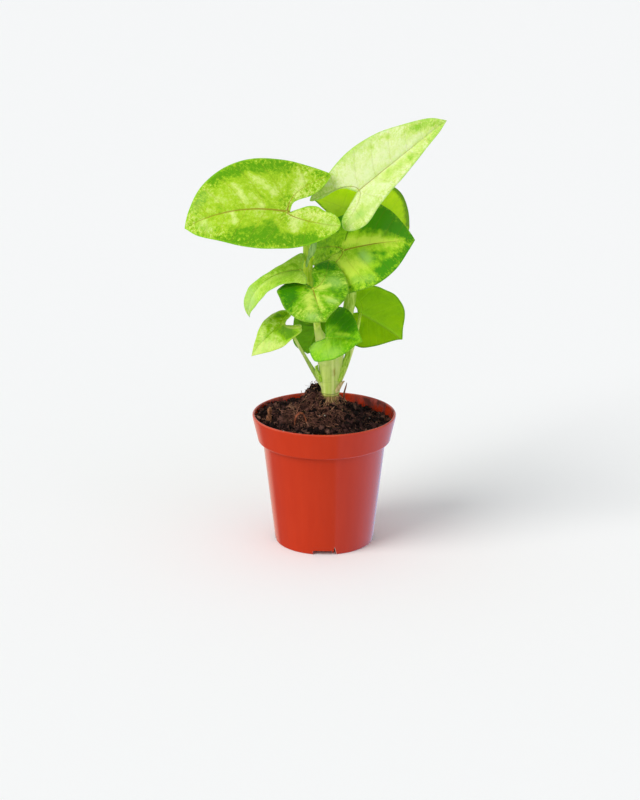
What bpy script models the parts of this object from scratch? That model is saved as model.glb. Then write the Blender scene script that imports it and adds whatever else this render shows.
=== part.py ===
"""Arrowhead plant in a small plastic nursery pot.

Metres, +Z up. The origin is the middle of the pot's underside, the face that it stands on, and the
plant's front looks along -Y. Each leaf blade is a thin shell on a curved heart or arrowhead outline.
"""

import math

import bmesh
import bpy
import numpy as np
from mathutils import Matrix, Vector, noise

# Driving dimensions
GAP = 0.0003  # clearance between pieces that touch on the real plant
POT_SIDES = 48
POT_HEIGHT = 0.0510
RIM_RADIUS = 0.0275  # outer edge of the rim
COLLAR_FOOT_RADIUS = 0.0255  # outer, at the collar's lower edge
COLLAR_HEIGHT = 0.0105
BODY_TOP_RADIUS = 0.0235  # outer, just under the collar
BASE_RADIUS = 0.0190  # outer, at the foot ring
WALL = 0.0009
FOOT_HEIGHT = 0.0020  # how far the drained ring of the floor stands off the table
FLOOR_DISC_RADIUS = 0.0110  # the middle of the floor, level with the foot ring
ARCHES = 4  # gaps through the foot ring, the first at the front
ARCH_WIDTH = 0.0075
ARCH_HEIGHT = 0.0017
ARCH_TURN = -0.028  # radians from the front to the middle of the first gap
SLIT_WIDTH = 0.0019
SLIT_HEIGHT = 0.0036
DRAIN_RADIUS = 0.0021

SOIL_LEVEL = 0.0483
SOIL_SLOPE = 0.05  # fall to the right
SOIL_RINGS = 9
SOIL_LUMPS = 0.0007
MOUND_HEIGHT = 0.0080
MOUND_SPREAD = 0.0090
MOUND_AT = (0.0015, 0.0030)
CLUMP_HEIGHT = 0.0060  # a crumb of root ball beside the stem
CLUMP_SPREAD = 0.0024
CLUMP_AT = (-0.0040, 0.0035)
HOLLOW_DEPTH = 0.0012  # the soil has sunk at the back right
HOLLOW_SPREAD = 0.0100
HOLLOW_AT = (0.0160, 0.0160)

BLADE_THICKNESS = 0.0007
VEIN_LINES = 9  # lines from the midrib to the edge, ahead of the stalk
LOBE_LINES = 5  # lines from a lobe's own vein to its outer edge, and as many to its inner edge
LOBE_VEIN = 0.45  # how soon a lobe's vein turns back: 1 is straight
BLADE_ROWS = 3  # rows between the midrib and the edge
VEIN_LEAN = 0.6  # how far forward a line's end lies of its foot, as a share of its sideways reach
VEIN_CURVE = 1.3
EDGE_WAVE = 0.0003
EDGE_WAVES = 2.5  # along one half

# One entry for each leaf. The flat outline has its midrib along its length and the stalk's joint at
# zero: length is joint to tip, width and lobe are the (left, right) reaches beside and behind the
# joint. ahead is the outline's reach at 0.90, 0.70, 0.42 and 0.12 of the length, and lobe_at, inner and
# sinus shape the lobes, all as shares of the width. The rest bends the blade, in degrees: fold lifts each
# half, curl rolls its edge, droop lowers the tip, hang lowers each lobe, sweep turns the midrib left.
LEAVES = {
    "leaf_upper_left": dict(
        at=(-0.0138, -0.0060, 0.1303), points=(-1.0, -0.05, 0.20), faces=(0.0, -0.85, 0.50),
        length=0.0390, width=(0.0145, 0.0200), lobe=(0.0210, 0.0143),
        ahead=((0.27, 0.65, 0.97, 1.02), (0.25, 0.66, 0.94, 1.0)),
        lobe_at=(0.30, 0.85), inner=(-0.10, 0.40), sinus=(0.0, 0.70),
        fold=(8, 8), curl=(-15, -20), droop=32, hang=(-35, -10), sweep=30),
    "leaf_upper_right": dict(
        at=(0.0131, 0.0020, 0.1368), points=(0.75, -0.10, 0.65), faces=(-0.22, -0.90, 0.40),
        length=0.0410, width=(0.0135, 0.0125), lobe=(0.0175, 0.0125),
        ahead=((0.29, 0.6, 0.91, 1.0), (0.09, 0.4, 0.79, 1.0)),
        lobe_at=(0.65, 0.92), inner=(0.50, 0.25), sinus=(0.70, 0.50),
        fold=(15, 28), curl=(-10, -10), droop=5, hang=(0, 0), sweep=0),
    "leaf_behind_right": dict(
        at=(0.0143, 0.0160, 0.1216), points=(0.90, 0.10, -0.10), faces=(0.10, -0.90, 0.35),
        length=0.0208, width=(0.0155, 0.0130), lobe=(0.0120, 0.0120),
        ahead=((0.28, 0.7, 0.97, 1.0), (0.16, 0.53, 0.87, 1.0)),
        lobe_at=(0.50, 0.50), inner=(0.21, 0.21), sinus=(0.43, 0.43),
        fold=(8, 8), curl=(-10, -10), droop=30, hang=(0, 0), sweep=0),
    "leaf_right": dict(
        at=(0.0071, 0.0040, 0.1135), points=(0.85, -0.42, 0.34), faces=(0.10, -0.85, 0.50),
        length=0.0280, width=(0.0185, 0.0170), lobe=(0.0130, 0.0130),
        ahead=((0.25, 0.66, 0.95, 1.0), (0.23, 0.64, 0.93, 1.0)),
        lobe_at=(0.50, 0.50), inner=(0.21, 0.21), sinus=(0.43, 0.43),
        fold=(8, 8), curl=(-15, -15), droop=44, hang=(0, 0), sweep=0),
    "leaf_drooping": dict(
        at=(-0.0090, -0.0020, 0.1074), points=(-1.0, -0.25, 0.10), faces=(0.0, -0.35, 0.90),
        length=0.0318, width=(0.0090, 0.0075), lobe=(0.0015, 0.0022),
        ahead=((0.20, 0.56, 0.76, 0.80), (0.27, 0.43, 0.46, 0.68)),
        lobe_at=(0.70, 0.95), inner=(0.29, 0.45), sinus=(0.43, 0.43),
        fold=(3, 30), curl=(-10, -10), droop=108, hang=(0, 0), sweep=0),
    "leaf_centre": dict(
        at=(-0.0042, -0.0090, 0.1019), points=(0.17, -0.85, -0.50), faces=(0.0, -0.50, 0.85),
        length=0.0160, width=(0.0132, 0.0136), lobe=(0.0125, 0.0060),
        ahead=((0.17, 0.55, 0.89, 1.0), (0.28, 0.7, 0.97, 1.0)),
        lobe_at=(0.75, 0.50), inner=(0.30, 0.21), sinus=(0.43, 0.43),
        fold=(8, 6), curl=(-15, -15), droop=15, hang=(-10, 8), sweep=14),
    "leaf_lower_left": dict(
        at=(-0.0156, 0.0014, 0.0856), points=(-0.60, -0.40, -0.30), faces=(-0.30, -0.70, 0.70),
        length=0.0174, width=(0.0108, 0.0058), lobe=(0.0036, 0.0061),
        ahead=((0.22, 0.62, 0.98, 1.02), (0.11, 0.40, 0.81, 1.0)),
        lobe_at=(0.62, 0.50), inner=(0.37, 0.20), sinus=(0.80, 0.45),
        fold=(25, 25), curl=(-15, -15), droop=40, hang=(0, 0), sweep=0),
    "leaf_lower_behind": dict(
        at=(-0.0020, 0.0120, 0.0838), points=(-0.33, 0.10, -0.94), faces=(0.10, 0.90, 0.20),
        length=0.0130, width=(0.0099, 0.0090), lobe=(0.0070, 0.0070),
        ahead=((0.19, 0.57, 0.9, 1.0), (0.19, 0.57, 0.9, 1.0)),
        lobe_at=(0.50, 0.50), inner=(0.21, 0.21), sinus=(0.43, 0.43),
        fold=(8, 8), curl=(-15, -15), droop=20, hang=(0, 0), sweep=0),
    "leaf_lower_right": dict(
        at=(0.0139, 0.0120, 0.0871), points=(0.87, 0.10, -0.45), faces=(0.10, 0.90, 0.40),
        length=0.0197, width=(0.0155, 0.0140), lobe=(0.0070, 0.0070),
        ahead=((0.25, 0.66, 0.94, 1.0), (0.36, 0.82, 1.05, 1.0)),
        lobe_at=(0.50, 0.50), inner=(0.21, 0.21), sinus=(0.43, 0.43),
        fold=(8, 8), curl=(-15, -15), droop=20, hang=(0, 0), sweep=0),
    "leaf_low_front": dict(
        at=(0.0011, -0.0066, 0.0825), points=(0.75, -0.70, 0.20), faces=(-0.05, -0.80, 0.60),
        length=0.0160, width=(0.0135, 0.0100), lobe=(0.0030, 0.0070),
        ahead=((0.16, 0.53, 0.87, 1.0), (0.19, 0.57, 0.9, 1.0)),
        lobe_at=(0.70, 0.50), inner=(0.29, 0.21), sinus=(0.43, 0.43),
        fold=(8, 8), curl=(-15, -15), droop=20, hang=(0, 0), sweep=0),
}

# The main stem from its foot in the soil to the top of its sheaths: x, y, z and radius. The two narrow
# places near its foot are scars of older leaves.
TRUNK = [
    (0.0018, 0.0030, 0.0480, 0.0027), (0.0018, 0.0030, 0.0560, 0.0029), (0.0018, 0.0030, 0.0568, 0.0032),
    (0.0018, 0.0030, 0.0577, 0.0030), (0.0016, 0.0030, 0.0640, 0.0033), (0.0008, 0.0030, 0.0720, 0.0034),
    (-0.0006, 0.0028, 0.0785, 0.0028), (-0.0023, 0.0026, 0.0845, 0.0018), (-0.0030, 0.0025, 0.0900, 0.0019),
    (-0.0038, 0.0020, 0.0962, 0.0015),
]
# The hole in the soil that the stem and the foot of the right leaf's stalk stand in.
STEM_HOLE = [
    (0.0018, 0.0030, 0.0480 - GAP, 0.0031), (0.0018, 0.0030, 0.0500, 0.0031), (0.0023, 0.0030, 0.0555, 0.0040),
    (0.0024, 0.0030, 0.0680, 0.0052),
]
# The leaf stalks, each from inside the stem: x, y, z and radius. The end under the blade comes from
# the leaf.
STALKS = {
    "leaf_upper_left": [
        (-0.0028, 0.0030, 0.0870, 0.0013), (-0.0044, 0.0037, 0.0960, 0.0013), (-0.0061, 0.0042, 0.1020, 0.0015),
        (-0.0073, 0.0046, 0.1080, 0.0011), (-0.0072, 0.0050, 0.1150, 0.0009), (-0.0095, 0.0036, 0.1215, 0.0008),
        (-0.0125, 0.0006, 0.1262, 0.0007)],
    "leaf_upper_right": [
        (-0.0022, 0.0032, 0.0840, 0.0013), (-0.0014, 0.0052, 0.0910, 0.0012), (0.0006, 0.0074, 0.0990, 0.0011),
        (0.0034, 0.0086, 0.1120, 0.0010), (0.0062, 0.0096, 0.1190, 0.0009), (0.0092, 0.0130, 0.1265, 0.0009),
        (0.0124, 0.0124, 0.1330, 0.0008)],
    "leaf_behind_right": [
        (-0.0016, 0.0036, 0.0820, 0.0012), (-0.0006, 0.0072, 0.0890, 0.0011), (0.0026, 0.0118, 0.0985, 0.0010),
        (0.0070, 0.0165, 0.1080, 0.0009), (0.0122, 0.0205, 0.1165, 0.0008)],
    "leaf_right": [
        (0.0028, 0.0032, 0.0530, 0.0016), (0.0042, 0.0034, 0.0590, 0.0019), (0.0052, 0.0036, 0.0690, 0.0019),
        (0.0068, 0.0040, 0.0800, 0.0016), (0.0088, 0.0044, 0.0890, 0.0014), (0.0102, 0.0056, 0.0980, 0.0011),
        (0.0106, 0.0074, 0.1060, 0.0009)],
    "leaf_drooping": [
        (-0.0028, 0.0016, 0.0875, 0.0010), (-0.0038, -0.0010, 0.0935, 0.0009), (-0.0050, -0.0018, 0.0980, 0.0008),
        (-0.0083, -0.0014, 0.1037, 0.0007)],
    "leaf_centre": [
        (-0.0024, 0.0018, 0.0850, 0.0011), (-0.0031, -0.0030, 0.0925, 0.0009), (-0.0039, -0.0070, 0.0980, 0.0007)],
    "leaf_lower_left": [
        (0.0004, 0.0022, 0.0600, 0.0012), (-0.0030, 0.0012, 0.0655, 0.0010), (-0.0074, 0.0018, 0.0730, 0.0007),
        (-0.0112, 0.0034, 0.0795, 0.0006), (-0.0134, 0.0050, 0.0830, 0.0006)],
    "leaf_lower_behind": [
        (0.0000, 0.0040, 0.0720, 0.0010), (-0.0010, 0.0085, 0.0790, 0.0008)],
    "leaf_lower_right": [
        (0.0032, 0.0030, 0.0580, 0.0014), (0.0072, 0.0034, 0.0660, 0.0011), (0.0103, 0.0044, 0.0740, 0.0008),
        (0.0124, 0.0056, 0.0815, 0.0007)],
    "leaf_low_front": [
        (0.0010, 0.0016, 0.0720, 0.0011), (0.0018, -0.0028, 0.0770, 0.0008)],
}
STALK_APPROACH = 0.0022  # how far below the blade a stalk turns square to it
STALK_TIP_RADIUS = 0.0006
# The youngest leaf, still rolled to a spear, in front of the stalk whose sheath it has left.
ROLLED_LEAF = [
    (-0.0068, 0.0026, 0.1072, 0.0005), (-0.0061, 0.0012, 0.1107, 0.0006), (-0.0050, 0.0008, 0.1130, 0.0011),
    (-0.0041, 0.0006, 0.1152, 0.0012), (-0.0036, 0.0005, 0.1172, 0.0009), (-0.0033, 0.0004, 0.1185, 0.0003),
]
TUBE_RESOLUTION = 2
TRUNK_RESOLUTION = 4

# A dry curled husk stands in the soil like a hoop, and a chip of bark stands at the left.
HUSK_FEET = ((-0.0114, -0.0110), (-0.0066, -0.0104))
HUSK_TOP = 0.0543
HUSK_ROOT = 0.0480
HUSK_HOLE_RADIUS = 0.0009
HUSK_WIDTH = 0.0013
HUSK_THICKNESS = 0.0006
HUSK_STEPS = 14
BARK_FOOT = (-0.0212, -0.0060, 0.0484)
BARK_TOP = (-0.0206, -0.0060, 0.0548)
BARK_RADIUS = 0.0012


# Materials, collections and meshes


def collection(name):
    """A new collection in the scene."""
    made = bpy.data.collections.new(name)
    bpy.context.scene.collection.children.link(made)
    return made


def material(name, colour, roughness):
    """A plain Principled material."""
    made = bpy.data.materials.new(name)
    made.use_nodes = True
    shader = made.node_tree.nodes["Principled BSDF"]
    shader.inputs["Base Color"].default_value = (*colour, 1.0)
    shader.inputs["Roughness"].default_value = roughness
    shader.inputs["Metallic"].default_value = 0.0
    return made


def place_part(name, mesh, parts, finish):
    """A named part of a mesh, shaded smooth, with its material."""
    obj = bpy.data.objects.new(name, mesh)
    parts.objects.link(obj)
    mesh.materials.clear()
    mesh.materials.append(finish)
    mesh.shade_smooth()
    mesh.set_sharp_from_angle(angle=math.radians(40))
    return obj


def finished_mesh(obj):
    """The object's evaluated mesh in world space, welded, with its faces pointing out."""
    bpy.context.view_layer.update()
    graph = bpy.context.evaluated_depsgraph_get()
    mesh = bpy.data.meshes.new_from_object(obj.evaluated_get(graph))
    mesh.transform(obj.matrix_world)
    work = bmesh.new()
    work.from_mesh(mesh)
    bmesh.ops.remove_doubles(work, verts=work.verts, dist=1e-6)
    bmesh.ops.recalc_face_normals(work, faces=work.faces)
    work.to_mesh(mesh)
    work.free()
    return mesh


def make_cutter(name, mesh, cutters):
    """An object that only cuts others."""
    obj = bpy.data.objects.new(name, mesh)
    cutters.objects.link(obj)
    obj.hide_render = True
    obj.display_type = "WIRE"
    return obj


def cut(obj, cutter):
    """Subtract a cutter from a part."""
    modifier = obj.modifiers.new("cut_" + cutter.name, "BOOLEAN")
    modifier.operation = "DIFFERENCE"
    modifier.solver = "EXACT"
    modifier.object = cutter


def spline(points, steps):
    """Points along a smooth curve through the given ones, spaced by the square root of their chords."""
    points = np.asarray(points, dtype=float)
    chords = np.linalg.norm(np.diff(points[:, :3], axis=0), axis=1) ** 0.5
    knots = np.concatenate([[0.0], np.cumsum(chords)])
    knots = np.concatenate([[2 * knots[0] - knots[1]], knots, [2 * knots[-1] - knots[-2]]])
    points = np.vstack([2 * points[0] - points[1], points, 2 * points[-1] - points[-2]])
    return np.array([spline_point(points, knots, t) for t in np.linspace(knots[1], knots[-2], steps + 1)])


def spline_point(points, knots, t):
    """One point of the curve, by blending straight lines between neighbouring knots."""
    first = min(max(int(np.searchsorted(knots, t, side="right")) - 2, 0), len(points) - 4)
    level = [points[first + i] for i in range(4)]
    near = knots[first:first + 4]
    for span in (1, 2):
        level = [mix_at(level[i], level[i + 1], near[i], near[i + span], t) for i in range(4 - span)]
    return mix_at(level[0], level[1], near[1], near[2], t)


def mix_at(start, end, from_knot, to_knot, t):
    """The blend of two points at t, between their knots."""
    share = (t - from_knot) / (to_knot - from_knot)
    return start + (end - start) * share


# The pot


def turned_mesh(name, profile, sides):
    """A profile of (radius, height) points turned round Z."""
    mesh = bpy.data.meshes.new(name)
    points = [(radius, 0.0, height) for radius, height in profile]
    mesh.from_pydata(points, [(i, i + 1) for i in range(len(points) - 1)], [])
    obj = bpy.data.objects.new(name, mesh)
    bpy.context.scene.collection.objects.link(obj)
    screw = obj.modifiers.new("turn", "SCREW")
    screw.steps = sides
    screw.render_steps = sides
    screw.use_merge_vertices = True
    screw.merge_threshold = 1e-6
    turned = finished_mesh(obj)
    bpy.data.objects.remove(obj)
    turned.name = name
    return turned


def arc(centre, radius, start, end, steps):
    """Points of (radius, height) on an arc between two angles in degrees."""
    angles = [math.radians(start + (end - start) * i / steps) for i in range(steps + 1)]
    return [(centre[0] + radius * math.cos(a), centre[1] + radius * math.sin(a)) for a in angles]


STEP_HEIGHT = POT_HEIGHT - COLLAR_HEIGHT
INNER_WALL = [  # (radius, height) up the pot's inside
    (BASE_RADIUS - 1.6 * WALL, FOOT_HEIGHT + WALL),
    (BASE_RADIUS - 0.9 * WALL, FOOT_HEIGHT + 1.6 * WALL),
    (BODY_TOP_RADIUS - WALL, STEP_HEIGHT - 0.4 * WALL),
    (COLLAR_FOOT_RADIUS - 1.4 * WALL, STEP_HEIGHT + 0.9 * WALL),
    (COLLAR_FOOT_RADIUS - WALL, STEP_HEIGHT + 1.6 * WALL),
    (RIM_RADIUS - WALL, POT_HEIGHT - 0.5 * WALL),
]


def inner_radius(height):
    """Radius of the pot's inner wall at a height."""
    return float(np.interp(height, [h for _, h in INNER_WALL], [r for r, _ in INNER_WALL]))


def pot_profile():
    """From the middle of the floor's inside up, over the rim, down the outside and under the floor."""
    lip = WALL * 0.5
    floor = [
        (0.0, WALL),
        (FLOOR_DISC_RADIUS - 0.4 * WALL, WALL),
        (FLOOR_DISC_RADIUS + 0.7 * WALL, FOOT_HEIGHT + WALL),
    ]
    rim = arc((RIM_RADIUS - lip, POT_HEIGHT - lip), lip, 150, 0, 4)
    edge = 0.0008
    collar_edge = arc((COLLAR_FOOT_RADIUS - edge, STEP_HEIGHT + edge), edge, 0, -90, 3)
    outside = [
        (BODY_TOP_RADIUS + 0.0003, STEP_HEIGHT),
        (BODY_TOP_RADIUS, STEP_HEIGHT - 0.0004),
        (BASE_RADIUS + 0.0001, 0.0005),
        (BASE_RADIUS - 0.0003, 0.0),
        (BASE_RADIUS - WALL, 0.0),
        (BASE_RADIUS - 1.1 * WALL, FOOT_HEIGHT),
        (FLOOR_DISC_RADIUS + 0.9 * WALL, FOOT_HEIGHT),
        (FLOOR_DISC_RADIUS, 0.0),
        (0.0, 0.0),
    ]
    return floor + INNER_WALL + rim + collar_edge + outside


def around(angle):
    """Rotation round Z."""
    return Matrix.Rotation(angle, 3, "Z")


def arch_cutter(name, angle, cutters):
    """A box across the foot ring, from the table up."""
    mesh = bpy.data.meshes.new(name)
    work = bmesh.new()
    bmesh.ops.create_cube(work, size=1.0)
    bmesh.ops.scale(work, verts=work.verts, vec=(0.0040, ARCH_WIDTH, 2 * ARCH_HEIGHT))
    bmesh.ops.translate(work, verts=work.verts, vec=(BASE_RADIUS, 0.0, 0.0))
    bmesh.ops.rotate(work, verts=work.verts, matrix=around(angle), cent=(0.0, 0.0, 0.0))
    work.to_mesh(mesh)
    work.free()
    return make_cutter(name, mesh, cutters)


def slit_cutter(name, angle, cutters):
    """A lying three-sided prism that narrows upwards, through the foot of the wall."""
    mesh = bpy.data.meshes.new(name)
    work = bmesh.new()
    bmesh.ops.create_cone(work, cap_ends=True, segments=3, radius1=1.0, radius2=1.0, depth=0.0044)
    bmesh.ops.scale(work, verts=work.verts, vec=(SLIT_WIDTH / math.sqrt(3), SLIT_HEIGHT / 1.5, 1.0))
    bmesh.ops.rotate(work, verts=work.verts, matrix=upright(), cent=(0.0, 0.0, 0.0))
    foot = min(vertex.co.z for vertex in work.verts)
    bmesh.ops.translate(work, verts=work.verts, vec=(BASE_RADIUS, 0.0, -foot - 0.0002))
    bmesh.ops.rotate(work, verts=work.verts, matrix=around(angle), cent=(0.0, 0.0, 0.0))
    work.to_mesh(mesh)
    work.free()
    return make_cutter(name, mesh, cutters)


def upright():
    """Turns a prism along Z to lie along X with its own Y upwards."""
    return Matrix(((0.0, 0.0, 1.0), (1.0, 0.0, 0.0), (0.0, 1.0, 0.0)))


def drain_cutter(name, angle, cutters):
    """A round hole through the drained ring of the floor."""
    radius = (FLOOR_DISC_RADIUS + BASE_RADIUS) / 2 - 0.0003
    mesh = bpy.data.meshes.new(name)
    work = bmesh.new()
    bmesh.ops.create_cone(
        work, cap_ends=True, segments=16, radius1=DRAIN_RADIUS, radius2=DRAIN_RADIUS, depth=0.0050)
    spot = (radius * math.cos(angle), radius * math.sin(angle), FOOT_HEIGHT + WALL / 2)
    bmesh.ops.translate(work, verts=work.verts, vec=spot)
    work.to_mesh(mesh)
    work.free()
    return make_cutter(name, mesh, cutters)


def make_pot(parts, cutters):
    """A thin turned shell with a collar, gaps through its foot ring and drain holes in its floor."""
    finish = material("terracotta_plastic", (0.55, 0.08, 0.03), 0.32)
    pot = place_part("pot", turned_mesh("pot", pot_profile(), POT_SIDES), parts, finish)
    for i in range(ARCHES):
        angle = -math.pi / 2 + ARCH_TURN + 2 * math.pi * i / ARCHES
        cut(pot, arch_cutter(f"arch_{i}", angle, cutters))
        beside = (ARCH_WIDTH + 0.8 * SLIT_WIDTH) / 2 / BASE_RADIUS
        cut(pot, slit_cutter(f"slit_{i}", angle + beside, cutters))
        cut(pot, drain_cutter(f"drain_{i}", angle, cutters))


# The soil


def bell(x, y, middle, spread):
    """1 at the middle, fading with distance."""
    square = (x - middle[0]) ** 2 + (y - middle[1]) ** 2
    return math.exp(-square / (2 * spread ** 2))


def soil_height(x, y):
    """Height of the soil's surface."""
    height = SOIL_LEVEL - SOIL_SLOPE * x
    height += MOUND_HEIGHT * bell(x, y, MOUND_AT, MOUND_SPREAD)
    height += CLUMP_HEIGHT * bell(x, y, CLUMP_AT, CLUMP_SPREAD)
    height -= HOLLOW_DEPTH * bell(x, y, HOLLOW_AT, HOLLOW_SPREAD)
    height += SOIL_LUMPS * noise.noise(Vector((x * 300, y * 300, 0.4)))
    return height


def soil_profile():
    """From the middle of the top out to the wall, down the wall and back under."""
    top = [((inner_radius(SOIL_LEVEL) - GAP) * i / SOIL_RINGS, SOIL_LEVEL) for i in range(SOIL_RINGS)]
    wall = [(inner_radius(SOIL_LEVEL) - GAP, SOIL_LEVEL)]
    wall += [(radius - GAP, height + GAP) for radius, height in reversed(INNER_WALL[1:5])]
    under = [
        (BASE_RADIUS - 1.6 * WALL - GAP, FOOT_HEIGHT + WALL + GAP),
        (FLOOR_DISC_RADIUS + 0.9 * WALL - GAP, FOOT_HEIGHT + WALL + GAP),
        (FLOOR_DISC_RADIUS - 0.4 * WALL - GAP, WALL + GAP),
        (0.0, WALL + GAP),
    ]
    return top + wall + under


def raise_surface(mesh):
    """Lift the soil's flat top to its real surface, and follow the wall at its edge."""
    edge = inner_radius(SOIL_LEVEL) - GAP
    for vertex in mesh.vertices:
        x, y, z = vertex.co
        if z < SOIL_LEVEL - 1e-5:
            continue
        radius = math.hypot(x, y)
        height = soil_height(x, y)
        if radius > edge - 1e-5:
            grow = (inner_radius(height) - GAP) / radius
            x, y = x * grow, y * grow
        vertex.co = (x, y, height)


def hole_cutter(name, points, cutters):
    """A tube that cuts the hole for a piece that stands in the soil."""
    wider = [(x, y, z, radius + GAP) for x, y, z, radius in points]
    return make_cutter(name, tube_mesh(name, wider, TRUNK_RESOLUTION), cutters)


def make_soil(parts, cutters):
    """The root ball: it fills the pot and heaps up round the stem, with a hole for each piece in it."""
    finish = material("potting_soil", (0.035, 0.018, 0.012), 0.95)
    mesh = turned_mesh("soil", soil_profile(), POT_SIDES)
    raise_surface(mesh)
    soil = place_part("soil", mesh, parts, finish)
    cut(soil, hole_cutter("stem_hole", STEM_HOLE, cutters))
    for i, (x, y) in enumerate(HUSK_FEET):
        foot = [(x, y, HUSK_ROOT - GAP, HUSK_HOLE_RADIUS), (x, y, HUSK_TOP, HUSK_HOLE_RADIUS)]
        cut(soil, hole_cutter(f"husk_hole_{i}", foot, cutters))
    chip = [(*BARK_FOOT[:2], BARK_FOOT[2] - GAP, BARK_RADIUS), (*BARK_TOP, BARK_RADIUS)]
    cut(soil, hole_cutter("bark_hole", chip, cutters))


# Tubes: stem, stalks, rolled leaf


def tube_mesh(name, points, resolution):
    """A capped tube along points of (x, y, z, radius)."""
    curve = bpy.data.curves.new(name, "CURVE")
    curve.dimensions = "3D"
    curve.bevel_depth = 1.0
    curve.bevel_resolution = resolution
    curve.use_fill_caps = True
    path = curve.splines.new("POLY")
    path.points.add(len(points) - 1)
    for knot, (x, y, z, radius) in zip(path.points, points):
        knot.co = (x, y, z, 1.0)
        knot.radius = radius
    obj = bpy.data.objects.new(name, curve)
    bpy.context.scene.collection.objects.link(obj)
    mesh = finished_mesh(obj)
    bpy.data.objects.remove(obj)
    bpy.data.curves.remove(curve)
    mesh.name = name
    return mesh


def leaf_axes(leaf):
    """Unit directions of a leaf: along its midrib, to its left, and out of its upper face."""
    along = Vector(leaf["points"]).normalized()
    up = Vector(leaf["faces"])
    up = (up - along * up.dot(along)).normalized()
    return along, up.cross(along), up


def stalk_points(name):
    """A stalk's route, ending square to the underside of its blade with a gap."""
    leaf = LEAVES[name]
    up = leaf_axes(leaf)[2]
    joint = Vector(leaf["at"])
    points = list(STALKS[name])
    for below in (STALK_APPROACH, BLADE_THICKNESS / 2 + 1.4 * GAP):
        points.append((*(joint - up * below), STALK_TIP_RADIUS))
    return spline(points, 2 * len(points) + 1)


def make_stem(parts):
    """The main stem and every leaf stalk, grown as one piece."""
    finish = material("stem_green", (0.33, 0.50, 0.08), 0.5)
    joined = bpy.data.collections.new("stalks")
    bpy.context.scene.collection.children.link(joined)
    for name in STALKS:
        mesh = tube_mesh("stalk_" + name, stalk_points(name), TUBE_RESOLUTION)
        joined.objects.link(bpy.data.objects.new("stalk_" + name, mesh))
    trunk = bpy.data.objects.new("trunk", tube_mesh("trunk", spline(TRUNK, 22), TRUNK_RESOLUTION))
    bpy.context.scene.collection.objects.link(trunk)
    union = trunk.modifiers.new("union", "BOOLEAN")
    union.operation = "UNION"
    union.solver = "EXACT"
    union.operand_type = "COLLECTION"
    union.collection = joined
    mesh = finished_mesh(trunk)
    for obj in [trunk, *joined.objects]:
        bpy.data.objects.remove(obj)
    bpy.data.collections.remove(joined)
    mesh.name = "stem"
    place_part("stem", mesh, parts, finish)


def make_rolled_leaf(parts):
    """The spear of the youngest leaf, held beside the stalk of the upper left leaf."""
    finish = material("young_leaf", (0.30, 0.45, 0.20), 0.45)
    points = spline(ROLLED_LEAF, 16)
    place_part("rolled_leaf", tube_mesh("rolled_leaf", points, TUBE_RESOLUTION), parts, finish)


# The leaf blades


def half_outline(leaf, side, steps=200):
    """The flat edge of one half of a blade, from its tip round the lobe to the sinus, as (u, v)."""
    length = leaf["length"]
    width = leaf["width"][side]
    lobe = leaf["lobe"][side]
    ahead = zip((0.90, 0.70, 0.42, 0.12), leaf["ahead"][side])
    lobe_at = leaf["lobe_at"][side]
    inner = leaf["inner"][side]
    corners = [
        (length, 0.0),
        *[(along * length, reach * width) for along, reach in ahead],
        (-0.35 * lobe, 0.97 * width),
        (-0.80 * lobe, (0.35 + 0.65 * lobe_at) * width),
        (-lobe, lobe_at * width),
        (-0.80 * lobe, inner * width),
        (-0.25 * lobe - 0.0006, leaf["sinus"][side] * inner * width),
        (-0.0012, 0.0),
    ]
    return spline(corners, steps)


def edge_point(edge, along, distance):
    """The point at a distance along an edge."""
    return tuple(float(np.interp(distance, along, edge[:, axis])) for axis in (0, 1))


def half_lines(leaf, side):
    """Lines that cover one half of a blade, in two runs: (foot, end, share of the edge, curve) each.

    The first run goes from the tip back, with its feet on the midrib and then on the lobe's vein, out
    to the lobe's end. The second goes from there along the lobe's inner edge to the sinus.
    """
    edge = half_outline(leaf, side)
    along = np.concatenate([[0.0], np.cumsum(np.linalg.norm(np.diff(edge, axis=0), axis=1))])
    lean = edge[:, 0] - VEIN_LEAN * edge[:, 1]
    outer = [((leaf["length"], 0.0), (leaf["length"], 0.0), 0.0, VEIN_CURVE)]
    reached = 0.0
    for i in range(1, VEIN_LINES + 1):
        foot = leaf["length"] * (1 - (i / VEIN_LINES) ** 1.2)
        past = int(np.argmax(lean <= foot + 1e-9))
        share = (lean[past - 1] - foot) / (lean[past - 1] - lean[past])
        reached = along[past - 1] + (along[past] - along[past - 1]) * share
        outer.append(((foot, 0.0), edge_point(edge, along, reached), reached / along[-1], VEIN_CURVE))
    turn = along[int(np.argmin(edge[:, 0]))]
    vein = [lobe_vein(leaf, side, edge_point(edge, along, turn), i / LOBE_LINES) for i in range(LOBE_LINES + 1)]
    inner = []
    for i in range(1, LOBE_LINES + 1):
        at = reached + (turn - reached) * i / LOBE_LINES
        outer.append((vein[i], edge_point(edge, along, at), at / along[-1], 1.0))
    for i in range(LOBE_LINES + 1):
        at = turn + (along[-1] - turn) * i / LOBE_LINES
        inner.append((vein[LOBE_LINES - i], edge_point(edge, along, at), at / along[-1], 1.0))
    return outer, inner


def lobe_vein(leaf, side, end, share):
    """A point on the vein of a lobe, from the stalk's joint at 0 to the lobe's end at 1."""
    along = share ** 1.3
    return (end[0] * along, end[1] * along ** LOBE_VEIN)


def line_points(foot, end, curve):
    """Points across the blade on one line: (u, v, share of the way to the edge)."""
    shares = [row / BLADE_ROWS for row in range(BLADE_ROWS + 1)]
    return [(foot[0] + (end[0] - foot[0]) * s ** curve, foot[1] + (end[1] - foot[1]) * s, s) for s in shares]


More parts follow.
